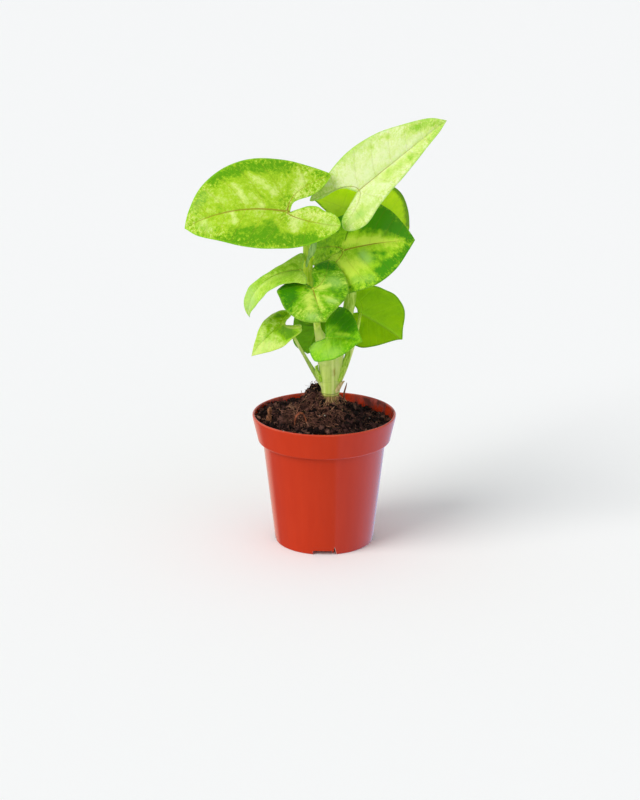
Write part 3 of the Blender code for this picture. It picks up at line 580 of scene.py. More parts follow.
def lump(name, size, rough, seed, fineness=2):
    """A rough little grain of a few dozen faces."""
    mesh = bpy.data.meshes.new(name)
    work = bmesh.new()
    bmesh.ops.create_icosphere(work, subdivisions=fineness, radius=1.0)
    for vertex in work.verts:
        bump = 1.0 + rough * noise.noise(vertex.co * 1.7 + Vector((seed, 0.0, 0.0)))
        vertex.co = Vector((vertex.co.x * size[0], vertex.co.y * size[1], vertex.co.z * size[2])) * bump
    bmesh.ops.recalc_face_normals(work, faces=work.faces)
    work.to_mesh(mesh)
    work.free()
    mesh.shade_smooth()
    return place(name, mesh)


def wisp(name, length, radius, bends, seed):
    """A short crooked fibre, lying on the ground plane."""
    steps = 9
    sides = 4
    vertices = []
    for i in range(steps + 1):
        share = i / steps
        x = length * (share - 0.5)
        y = bends * length * noise_at(share * 2.3, seed, 0.0)
        z = radius + 0.35 * bends * length * (noise_at(share * 2.0, seed, 9.0) + 0.25)
        thin = radius * (1.0 - 0.75 * share)
        for k in range(sides):
            a = 2 * math.pi * k / sides
            vertices.append((x, y + thin * math.cos(a), z + thin * math.sin(a)))
    ends = [list(range(sides))[::-1], list(range(steps * sides, (steps + 1) * sides))]
    faces = ends + ring_faces(steps + 1, sides)
    mesh = mesh_of(name, vertices, [face[::-1] for face in faces])
    mesh.shade_smooth()
    return place(name, mesh)


def top_of_soil(keep):
    """A copy of the soil's mesh whose attribute top is 1 where things may lie: where keep allows it."""
    mesh = soil.data.copy()
    mesh.materials.clear()
    flags = mesh.attributes.new("top", "FLOAT", "POINT")
    for vertex, flag in zip(mesh.vertices, flags.data):
        x, y, z = vertex.co
        away = math.hypot(x - STEM_PIT[0], y - STEM_PIT[1]) > STEM_PIT[2] + STREWN_TO_STEM
        inside = math.hypot(x, y) < inner_radius(z) - STREWN_TO_POT
        flag.value = float(z > SOIL_LEVEL - 0.004 and away and inside and keep(x, y))
    return mesh


crumb_finish, shell, spot = finish_of("peat_crumbs", roughness=0.95, specular=0.15)
tone = spot.mark("tone")
brown = tone.shades(
    (0.0, rgb(10, 7, 8)), (0.5, rgb(30, 19, 18)), (0.85, rgb(70, 45, 42)), (1.0, rgb(132, 94, 80)))
matting = spot.node("ShaderNodeVectorMath", {"operation": "DISTANCE"}, {0: spot, 1: MATTING}, "Value")
matting = (matting + spot.grain(300.0, detail=2.0) * 0.006).step(0.0170, 0.0110)
brown = (matting * tone.step(0.2, 0.65) * 0.55).paint(brown, rgb(112, 74, 62))
brown = (spot.grain(2400.0, detail=3.0).step(0.4, 0.7) * 0.4).paint(brown, rgb(34, 23, 18))
feed(shell.inputs["Base Color"], brown)
relief(shell, spot.grain(2400.0, detail=4.0, roughness=0.7), 0.0002)

perlite_finish, shell, spot = finish_of("perlite", roughness=0.8, specular=0.3)
pores = spot.grain(3000.0, detail=3.0).step(0.35, 0.6)
feed(shell.inputs["Base Color"], pores.paint(rgb(150, 140, 128), rgb(214, 208, 198)))
relief(shell, pores, 0.0001)

fibre_finish, shell, spot = finish_of("root_fibres", roughness=0.75, specular=0.25)
tan = spot.mark("tone").shades(
    (0.0, rgb(58, 35, 30)), (0.6, rgb(116, 74, 61)), (0.9, rgb(172, 120, 95)), (1.0, rgb(196, 152, 118)))
tan = (spot.grain(1800.0, detail=2.0).step(0.4, 0.7) * 0.35).paint(tan, rgb(58, 38, 30))
feed(shell.inputs["Base Color"], tan)

strewn = scatter_tree()


def matted(x, y):
    """Whether a place is in the mat of roots round the stem."""
    reach = ROOTY[2] * (1.0 + 0.35 * noise_at(x * 300, y * 300, 2.0))
    return math.hypot(x - ROOTY[0], y - ROOTY[1]) < reach


def clumped(x, y):
    """Whether a place is on the clod beside the stem."""
    return math.hypot(x - CLUMP[0][0], y - CLUMP[0][1]) < CLUMP_REACH


def anywhere(x, y):
    """The whole top."""
    return True


# piece: its shape, copies on a square metre, smallest and largest scale, tilt, seed, finish, where it lies
STREWINGS = {
    "crumbs_small": (
        lump("crumb", (1.0, 0.8, 0.7), 0.8, 1.0, 1), 1.3e6, 0.00018, 0.00055, 3.0, 11, crumb_finish,
        anywhere),
    "crumbs_large": (
        lump("clod", (1.0, 0.9, 0.75), 0.9, 5.0), 2.0e5, 0.0005, 0.0014, 3.0, 23, crumb_finish, anywhere),
    "crumbs_of_clod": (
        lump("block", (1.0, 0.9, 0.8), 0.9, 7.0), 2.2e6, 0.0005, 0.0011, 3.0, 29, crumb_finish, clumped),
    "perlite_grains": (
        lump("grain", (1.0, 0.85, 0.8), 0.7, 9.0), 1.3e4, 0.00022, 0.00045, 3.0, 8, perlite_finish, anywhere),
    "fibres_short": (
        wisp("fibre", 1.0, 0.020, 0.5, 3.0), 2.2e5, 0.0018, 0.0045, 0.35, 31, fibre_finish, anywhere),
    "fibres_matted": (
        wisp("strand", 1.0, 0.018, 0.9, 8.0), 8.0e5, 0.0030, 0.0075, 0.5, 37, fibre_finish, matted),
}
for label, (shape, density, smallest, largest, tilt, seed, finish, keep) in STREWINGS.items():
    piece = grown(label, top_of_soil(keep), strewn, {
        "Shape": shape, "Density": density, "Smallest": smallest, "Largest": largest, "Tilt": tilt,
        "Seed": seed, "Finish": finish})
    bpy.data.objects.remove(shape)
    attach(piece, "root")
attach(soil, "root")
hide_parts("soil")

# The leaves
# Ten thin blades, arrow- or heart-shaped, each held at its notch by a stalk. Every half has six side veins
# that curve forward from the midrib, and the blade domes a little between them. The young ones are
# marbled in cream and lime, the old ones are plain green.

BLADE_THICKNESS = 0.00045
EDGE_THICKNESS = 0.00018
VEIN_LINES = 60  # lines from the midrib to the edge, ahead of the stalk
SIDE_VEINS = 6
LOBE_LINES = 22
LOBE_VEIN = 0.45
BLADE_ROWS = 26
VEIN_LEAN = 0.6
VEIN_CURVE = 1.3
LINE_CROWDING = 1.2  # over 1, the lines start closer together towards the tip
EDGE_WAVE = 0.0003
EDGE_WAVES = 2.5
FINE_WAVE = 0.00010
FINE_WAVES = 7.3
QUILTING = 0.00013  # how far the blade domes between two side veins
RIB_GROOVE = 0.00022
RIB_WIDTH = 0.0006
LOBE_VEIN_AT_JOINT = 1.8  # over 1, a lobe's vein is painted narrower than the midrib, there
LOBE_VEIN_THINNING = 4.0  # and how much narrower it gets on its way out
AHEAD_PLACES = (0.90, 0.70, 0.42, 0.12)  # shares of the length where ahead gives a half's reach
JOINT_REACH = 0.0012  # how far the blade runs on behind the stalk's joint

# What a leaf is unless its own entry says otherwise. Lengths are in metres and angles in degrees, and a pair
# is for its left and its right half. width is how far a half reaches and lobe how far it reaches back past
# the stalk's joint. ahead, shoulder, heel and lobe_at are the half's reach from the tip to the lobe's end, as
# shares of its width, and inner and sinus the way back along the lobe, unless notch gives that way in points.
# fold and curl bend a half across, droop bends the blade along, hang the lobes, sweep turns the tip sideways.
LEAF_HABIT = dict(
    lobe_at=(0.50, 0.50), inner=(0.21, 0.21), sinus=(0.43, 0.43), fold=(8, 8), curl=(-15, -15), hang=(0, 0),
    sweep=0, shoulder=(0.97, 0.97), heel=(None, None), notch=(None, None))
# at is the joint, points the way the midrib sets out, and faces the way the upper face looks.
LEAF_SHAPES = {
    "leaf_upper_left": dict(
        at=(-0.0138, -0.006, 0.1303), points=(-1.0, -0.05, 0.2), faces=(0.0, -0.85, 0.5),
        length=0.0394, width=(0.0145, 0.02), lobe=(0.0213, 0.0139),
        ahead=((0.35, 0.68, 0.97, 1.04), (0.25, 0.66, 0.94, 1.0)),
        lobe_at=(0.3, 0.85), inner=(-0.1, 0.4), sinus=(0.0, 0.7),
        curl=(-15, -20), droop=32, hang=(-35, -10), sweep=30, shoulder=(0.87, 0.97),
        notch=([(-0.0194, 0.0004), (-0.0168, -0.0013), (-0.0138, -0.0021), (-0.011, -0.0037),
                (-0.0078, -0.0037), (-0.0045, -0.0021), (-0.0025, -0.0009)],
               [(-0.0126, 0.0128), (-0.0102, 0.0095), (-0.0076, 0.0072), (-0.0044, 0.0056),
                (-0.0018, 0.0036)])),
    "leaf_upper_right": dict(
        at=(0.0131, 0.002, 0.1368), points=(0.75, -0.1, 0.65), faces=(-0.22, -0.9, 0.4),
        length=0.041, width=(0.0135, 0.0125), lobe=(0.0175, 0.0125),
        ahead=((0.31, 0.61, 0.93, 1.02), (0.18, 0.39, 0.68, 0.91)),
        lobe_at=(0.65, 0.8), inner=(0.5, 0.25), sinus=(0.7, 0.5),
        fold=(15, 28), curl=(-10, -10), droop=5, shoulder=(0.9, 1.16), heel=(None, 1.04),
        notch=(None, [(-0.0122, 0.0075), (-0.0105, 0.0052), (-0.0079, 0.0037), (-0.0037, 0.0016)])),
    "leaf_behind_right": dict(
        at=(0.0143, 0.016, 0.1216), points=(0.9, 0.1, -0.1), faces=(0.1, -0.9, 0.35),
        length=0.0204, width=(0.0155, 0.013), lobe=(0.0195, 0.012),
        ahead=((0.48, 0.88, 1.03, 1.0), (0.16, 0.53, 0.87, 1.0)),
        curl=(-10, -10), droop=30, shoulder=(0.86, 0.97),
        notch=([(-0.0176, 0.006), (-0.0146, 0.0036), (-0.0112, 0.0012), (-0.005, 0.0003)], None)),
    "leaf_right": dict(
        at=(0.0071, 0.004, 0.1135), points=(0.85, -0.42, 0.34), faces=(0.1, -0.85, 0.5),
        length=0.028, width=(0.0185, 0.017), lobe=(0.016, 0.015),
        ahead=((0.25, 0.66, 0.93, 0.74), (0.23, 0.64, 0.93, 1.0)),
        droop=44, hang=(14, 26), shoulder=(0.67, 0.97), heel=(0.58, None),
        notch=([(-0.0168, 0.003), (-0.015, -0.0018), (-0.01, -0.0024), (-0.0045, -0.001)],
               [(-0.014, 0.0036), (-0.01, 0.0018), (-0.0045, 0.0003)])),
    "leaf_drooping": dict(
        at=(-0.009, -0.002, 0.1074), points=(-1.0, -0.25, 0.1), faces=(0.0, -0.35, 0.9),
        length=0.0318, width=(0.009, 0.0075), lobe=(0.0015, 0.0022),
        ahead=((0.34, 0.68, 0.78, 0.82), (0.34, 0.5, 0.29, 0.6)),
        lobe_at=(0.7, 0.95), inner=(0.29, 0.45), sinus=(0.43, 0.43),
        fold=(3, 30), curl=(-10, -10), droop=108),
    "leaf_centre": dict(
        at=(-0.0042, -0.009, 0.1019), points=(0.17, -0.85, -0.5), faces=(0.0, -0.5, 0.85),
        length=0.016, width=(0.0132, 0.0136), lobe=(0.0125, 0.006),
        ahead=((0.17, 0.55, 0.89, 1.0), (0.42, 0.72, 0.91, 0.95)),
        lobe_at=(0.75, 0.5), inner=(0.3, 0.21), sinus=(0.43, 0.43),
        fold=(8, 6), droop=15, hang=(-10, 8), sweep=14,
        notch=([(-0.0116, 0.0034), (-0.0088, 0.001), (-0.004, 0.0006)], None)),
    "leaf_lower_left": dict(
        at=(-0.0156, 0.0014, 0.0856), points=(-0.6, -0.4, -0.3), faces=(-0.3, -0.7, 0.7),
        length=0.0174, width=(0.0108, 0.0058), lobe=(0.0036, 0.0061),
        ahead=((0.22, 0.62, 0.98, 1.02), (0.11, 0.4, 0.81, 1.0)),
        lobe_at=(0.62, 0.5), inner=(0.37, 0.2), sinus=(0.8, 0.45),
        fold=(25, 25), droop=40,
        notch=([(-0.0029, 0.0084), (-0.0006, 0.0066), (0.0004, 0.0044), (-0.0003, 0.0014)], None)),
    "leaf_lower_behind": dict(
        at=(-0.002, 0.012, 0.0838), points=(-0.33, 0.1, -0.94), faces=(0.1, 0.9, 0.2),
        length=0.0134, width=(0.0099, 0.009), lobe=(0.007, 0.007),
        ahead=((0.54, 0.76, 0.87, 0.96), (0.19, 0.57, 0.9, 1.0)),
        droop=20,
        notch=([(-0.003, 0.008), (0.002, 0.0072), (0.0031, 0.0052), (0.0028, 0.0024), (0.0012, 0.0009)],
               None)),
    "leaf_lower_right": dict(
        at=(0.0139, 0.012, 0.0871), points=(0.87, 0.1, -0.45), faces=(0.1, 0.9, 0.4),
        length=0.0192, width=(0.0155, 0.0148), lobe=(0.007, 0.007),
        ahead=((0.17, 0.575, 0.935, 1.0), (0.21, 0.75, 0.99, 1.02)),
        droop=20),
    "leaf_low_front": dict(
        at=(0.0011, -0.0066, 0.0825), points=(0.75, -0.7, 0.2), faces=(-0.05, -0.8, 0.6),
        length=0.016, width=(0.0129, 0.01), lobe=(0.003, 0.007),
        ahead=((0.16, 0.53, 0.87, 1.0), (0.19, 0.57, 0.9, 1.0)),
        lobe_at=(0.7, 0.5), inner=(0.29, 0.21), sinus=(0.43, 0.43),
        droop=20),
}
LEAVES = {name: LEAF_HABIT | own for name, own in LEAF_SHAPES.items()}


def spline(points, steps):
    """Points along a smooth curve through the given ones, spaced by the square root of their chords."""
    points = np.asarray(points, dtype=float)
    chords = np.linalg.norm(np.diff(points[:, :3], axis=0), axis=1) ** 0.5
    knots = np.concatenate([[0.0], np.cumsum(chords)])
    knots = np.concatenate([[2 * knots[0] - knots[1]], knots, [2 * knots[-1] - knots[-2]]])
    points = np.vstack([2 * points[0] - points[1], points, 2 * points[-1] - points[-2]])
    return np.array([spline_point(points, knots, t) for t in np.linspace(knots[1], knots[-2], steps + 1)])


def spline_point(points, knots, t):
    """One point of the curve, by blending straight lines between neighbouring knots."""
    first = min(max(int(np.searchsorted(knots, t, side="right")) - 2, 0), len(points) - 4)
    level = [points[first + i] for i in range(4)]
    near = knots[first:first + 4]
    for span in (1, 2):
        level = [mix_at(level[i], level[i + 1], near[i], near[i + span], t) for i in range(4 - span)]
    return mix_at(level[0], level[1], near[1], near[2], t)


def mix_at(start, end, from_knot, to_knot, t):
    """The blend of two points at t, between their knots."""
    share = (t - from_knot) / (to_knot - from_knot)
    return start + (end - start) * share


def leaf_axes(leaf):
    """Unit directions of a leaf: along its midrib, to its left, and out of its upper face."""
    along = Vector(leaf["points"]).normalized()
    up = Vector(leaf["faces"])
    up = (up - along * up.dot(along)).normalized()
    return along, up.cross(along), up


def half_outline(leaf, side, steps=200):
    """The flat edge of one half of a blade, from its tip round the lobe to the sinus, as (u, v)."""
    length = leaf["length"]
    width, lobe, ahead, shoulder, heel, lobe_at, inner, sinus, notch = (
        leaf[part][side] for part in (
            "width", "lobe", "ahead", "shoulder", "heel", "lobe_at", "inner", "sinus", "notch"))
    heel = heel or 0.35 + 0.65 * lobe_at
    notch = notch or [(-0.80 * lobe, inner * width), (-0.25 * lobe - 0.0006, sinus * inner * width)]
    corners = [
        (length, 0.0),
        *[(along * length, reach * width) for along, reach in zip(AHEAD_PLACES, ahead)],
        (-0.35 * lobe, shoulder * width),
        (-0.80 * lobe, heel * width),
        (-lobe, lobe_at * width),
        *notch,
        (-JOINT_REACH, 0.0),
    ]
    return spline(corners, steps)


def edge_point(edge, along, distance):
    """The point at a distance along an edge."""
    return tuple(float(np.interp(distance, along, edge[:, axis])) for axis in (0, 1))


def half_lines(leaf, side):
    """Lines across one half of a blade, in two runs: (foot, end, share of the edge, curve, veins passed)."""
    edge = half_outline(leaf, side)
    along = np.concatenate([[0.0], np.cumsum(np.linalg.norm(np.diff(edge, axis=0), axis=1))])
    lean = edge[:, 0] - VEIN_LEAN * edge[:, 1]
    outer = [((leaf["length"], 0.0), (leaf["length"], 0.0), 0.0, VEIN_CURVE, 0.0)]
    reached = 0.0
    for i in range(1, VEIN_LINES + 1):
        foot = leaf["length"] * (1 - (i / VEIN_LINES) ** LINE_CROWDING)
        past = int(np.argmax(lean <= foot + 1e-9))
        share = (lean[past - 1] - foot) / (lean[past - 1] - lean[past])
        reached = along[past - 1] + (along[past] - along[past - 1]) * share
        passed = SIDE_VEINS * i / VEIN_LINES
        outer.append(((foot, 0.0), edge_point(edge, along, reached), reached / along[-1], VEIN_CURVE, passed))
    turn = along[int(np.argmin(edge[:, 0]))]
    lobe_end = edge_point(edge, along, turn)
    vein = [lobe_vein(lobe_end, i / LOBE_LINES) for i in range(LOBE_LINES + 1)]
    inner = []
    for i in range(1, LOBE_LINES + 1):
        at = reached + (turn - reached) * i / LOBE_LINES
        passed = SIDE_VEINS + 2.0 * i / LOBE_LINES
        outer.append((vein[i], edge_point(edge, along, at), at / along[-1], 1.0, passed))
    for i in range(LOBE_LINES + 1):
        at = turn + (along[-1] - turn) * i / LOBE_LINES
        passed = SIDE_VEINS + 2.0 + 2.0 * i / LOBE_LINES
        inner.append((vein[LOBE_LINES - i], edge_point(edge, along, at), at / along[-1], 1.0, passed))
    return outer, inner


def lobe_vein(end, share):
    """A point on the vein of a lobe, from the stalk's joint at 0 to the lobe's end at 1."""
    along = share ** 1.3
    return (end[0] * along, end[1] * along ** LOBE_VEIN)


def line_points(foot, end, curve):
    """Points across the blade on one line: (u, v, share of the way to the edge)."""
    shares = [row / BLADE_ROWS for row in range(BLADE_ROWS + 1)]
    return [(foot[0] + (end[0] - foot[0]) * s ** curve, foot[1] + (end[1] - foot[1]) * s, s) for s in shares]


def blade_lift(leaf, side, line, v, s):
    """How far the surface stands off the smooth bend: waves, domes between veins, the rib's groove."""
    foot, end, edge_share, _, passed = line
    reach = min(math.dist(foot, end) / (0.3 * leaf["width"][side]), 1.0)
    size = s ** 2 * reach * math.sin(math.pi * edge_share)
    wave = EDGE_WAVE * math.sin(2 * math.pi * EDGE_WAVES * edge_share + 1.3 * side)
    wave += FINE_WAVE * math.sin(2 * math.pi * FINE_WAVES * edge_share + 0.9 * side)
    dome = QUILTING * reach * math.sin(math.pi * passed) ** 2 * math.sin(math.pi * min(1.3 * s, 1.0)) ** 0.7
    groove = RIB_GROOVE * math.exp(-(v / RIB_WIDTH) ** 2)
    return size * wave + dome - groove


def bend(leaf, side, u, v, lift):
    """Bend a flat point of a half blade and place it in space."""
    fold = math.radians(leaf["fold"][side])
    curl = math.radians(leaf["curl"][side]) / leaf["width"][side]
    out = (math.sin(fold + curl * v) - math.sin(fold)) / curl
    rise = (math.cos(fold) - math.cos(fold + curl * v)) / curl + lift
    if u >= 0:
        turn = math.radians(leaf["droop"]) / leaf["length"]
    else:
        turn = math.radians(leaf["hang"][side]) / leaf["lobe"][side]
    turn = turn or 1e-6
    forward = math.sin(turn * u) / turn
    down = (1 - math.cos(turn * u)) / turn
    sideways = out if side == 0 else -out
    if leaf["sweep"] and u > 0:
        sweep = math.radians(leaf["sweep"]) / leaf["length"]
        forward += math.sin(sweep * u) / sweep - u - sideways * math.sin(sweep * u)
        sideways = (1 - math.cos(sweep * u)) / sweep + sideways * math.cos(sweep * u)
    along, left, up = leaf_axes(leaf)
    forward += rise * math.sin(turn * u)
    height = rise * math.cos(turn * u) - down
    return Vector(leaf["at"]) + along * forward + left * sideways + up * height


def nearest(points, lines):
    """For each flat point, the distance to the nearest of some polylines."""
    points = np.asarray(points)
    best = np.full(len(points), 1.0)
    for line in lines:
        line = np.asarray(line)
        for start, end in zip(line, line[1:]):
            step = end - start
            share = np.clip((points - start) @ step / max(float(step @ step), 1e-18), 0.0, 1.0)
            best = np.minimum(best, np.linalg.norm(points - start - share[:, None] * step, axis=1))
    return best


def vein_routes(outer, inner):
    """The flat routes of a half's side veins and of its lobe's veins."""
    every = VEIN_LINES // SIDE_VEINS
    picked = outer[every:VEIN_LINES + 1:every]
    picked += outer[VEIN_LINES + LOBE_LINES // 2::LOBE_LINES // 2] + inner[LOBE_LINES // 2:-1:LOBE_LINES // 2]
    routes = [[point[:2] for point in line_points(*line[:2], line[3])][:-2] for line in picked]
    routes.append([line[0] for line in outer[VEIN_LINES:]])
    return routes


def half_marks(leaf, side, flat, outer, inner):
    """The distances of a half's flat points from its edge, its veins and the vein of its lobe."""
    to_edge = nearest(flat, [half_outline(leaf, side, 90)])
    to_vein = nearest(flat, vein_routes(outer, inner))
    along_lobe = [min(math.hypot(u, v) / (0.6 * leaf["lobe"][side]), 2.0) for u, v in flat]
    to_lobe_vein = nearest(flat, [[line[0] for line in outer[VEIN_LINES:]]])
    thinned = [away * (LOBE_VEIN_AT_JOINT + LOBE_VEIN_THINNING * share ** 2)
               for away, share in zip(to_lobe_vein, along_lobe)]
    return {"edge": list(to_edge), "vein": list(to_vein), "rib": thinned}


def rib_marks(leaf, runs, flat, to_lobe_vein):
    """The distances from the midrib or a lobe's vein; a rib tapers, and fades past the length it runs."""
    marks = []
    for (u, v), away in zip(flat, to_lobe_vein):
        fade = 1.0 + 3.0 * max(u - 0.75 * runs, 0.0) / runs if u > -JOINT_REACH else 20.0
        taper = 1.0 - 0.7 * max(u, 0.0) / leaf["length"]
        marks.append(min(abs(v) * fade / taper, away))
    return marks


def blade_surface(name, leaf):
    """The middle surface of a blade with what its finish reads: flat place, distances, painted green."""
    vertices, flat, growth, faces = [], [], [], []
    known = {}
    marks = {"edge": [], "vein": [], "rib": []}
    for side in (0, 1):
        runs = half_lines(leaf, side)
        first = len(vertices)
        for run in runs:
            ids = []
            for line in run:
                foot, end, _, curve, passed = line
                ids.append([])
                for u, v, s in line_points(foot, end, curve):
                    spot = (side if v > 1e-8 else 2, round(u, 8), round(v, 8))
                    if spot not in known:
                        known[spot] = len(vertices)
                        vertices.append(bend(leaf, side, u, v, blade_lift(leaf, side, line, v, s)))
                        flat.append((u, v if side == 0 else -v))
                        growth.append((passed, s * math.dist(foot, end) * 1000.0, float(side)))
                    ids[-1].append(known[spot])
            for near, far in zip(ids, ids[1:]):
                for row in range(BLADE_ROWS):
                    quad = list(dict.fromkeys([near[row], near[row + 1], far[row + 1], far[row]]))
                    if len(quad) > 2:
                        faces.append(quad[::-1] if side else quad)
        own = [(u, v if side == 0 else -v) for u, v in flat[first:]]
        for label, values in half_marks(leaf, side, own, *runs).items():
            marks[label] += values
    tones = MARBLING[name]
    marks["rib"] = rib_marks(leaf, tones["rib"][1] / 1000.0, flat, marks["rib"])
    marks["green"] = (tones["base"] + brushed(tones["green"], flat)) / 1000.0
    marks["hazy"] = brushed(tones["hazy"], flat) / 1000.0
    mesh = mesh_of(name + "_blade", vertices, faces)
    for label, values in marks.items():
        in_millimetres = [float(v) * 1000.0 for v in values]
        mesh.attributes.new(label, "FLOAT", "POINT").data.foreach_set("value", in_millimetres)
    numbers = [number for point in growth for number in point]
    mesh.attributes.new("grown", "FLOAT_VECTOR", "POINT").data.foreach_set("vector", numbers)
    return mesh


def thicken(piece, thickness):
    """A modifier that gives a surface its thickness, half to each side."""
    skin = piece.modifiers.new("thickness", "SOLIDIFY")
    skin.thickness = thickness
    skin.offset = 0.0
    return skin


def blade(name, leaf):
    """A blade of its real thickness, thinner at its edge."""
    piece = place(name + "_blade", blade_surface(name, leaf))
    flesh = piece.vertex_groups.new(name="flesh")
    thin = EDGE_THICKNESS / BLADE_THICKNESS
    for vertex, edge in zip(piece.data.vertices, piece.data.attributes["edge"].data):
        flesh.add([vertex.index], thin + (1 - thin) * min(edge.value / 0.9, 1.0), "REPLACE")
    skin = thicken(piece, BLADE_THICKNESS)
    skin.use_even_offset = False
    skin.vertex_group = "flesh"
    return settled(piece)


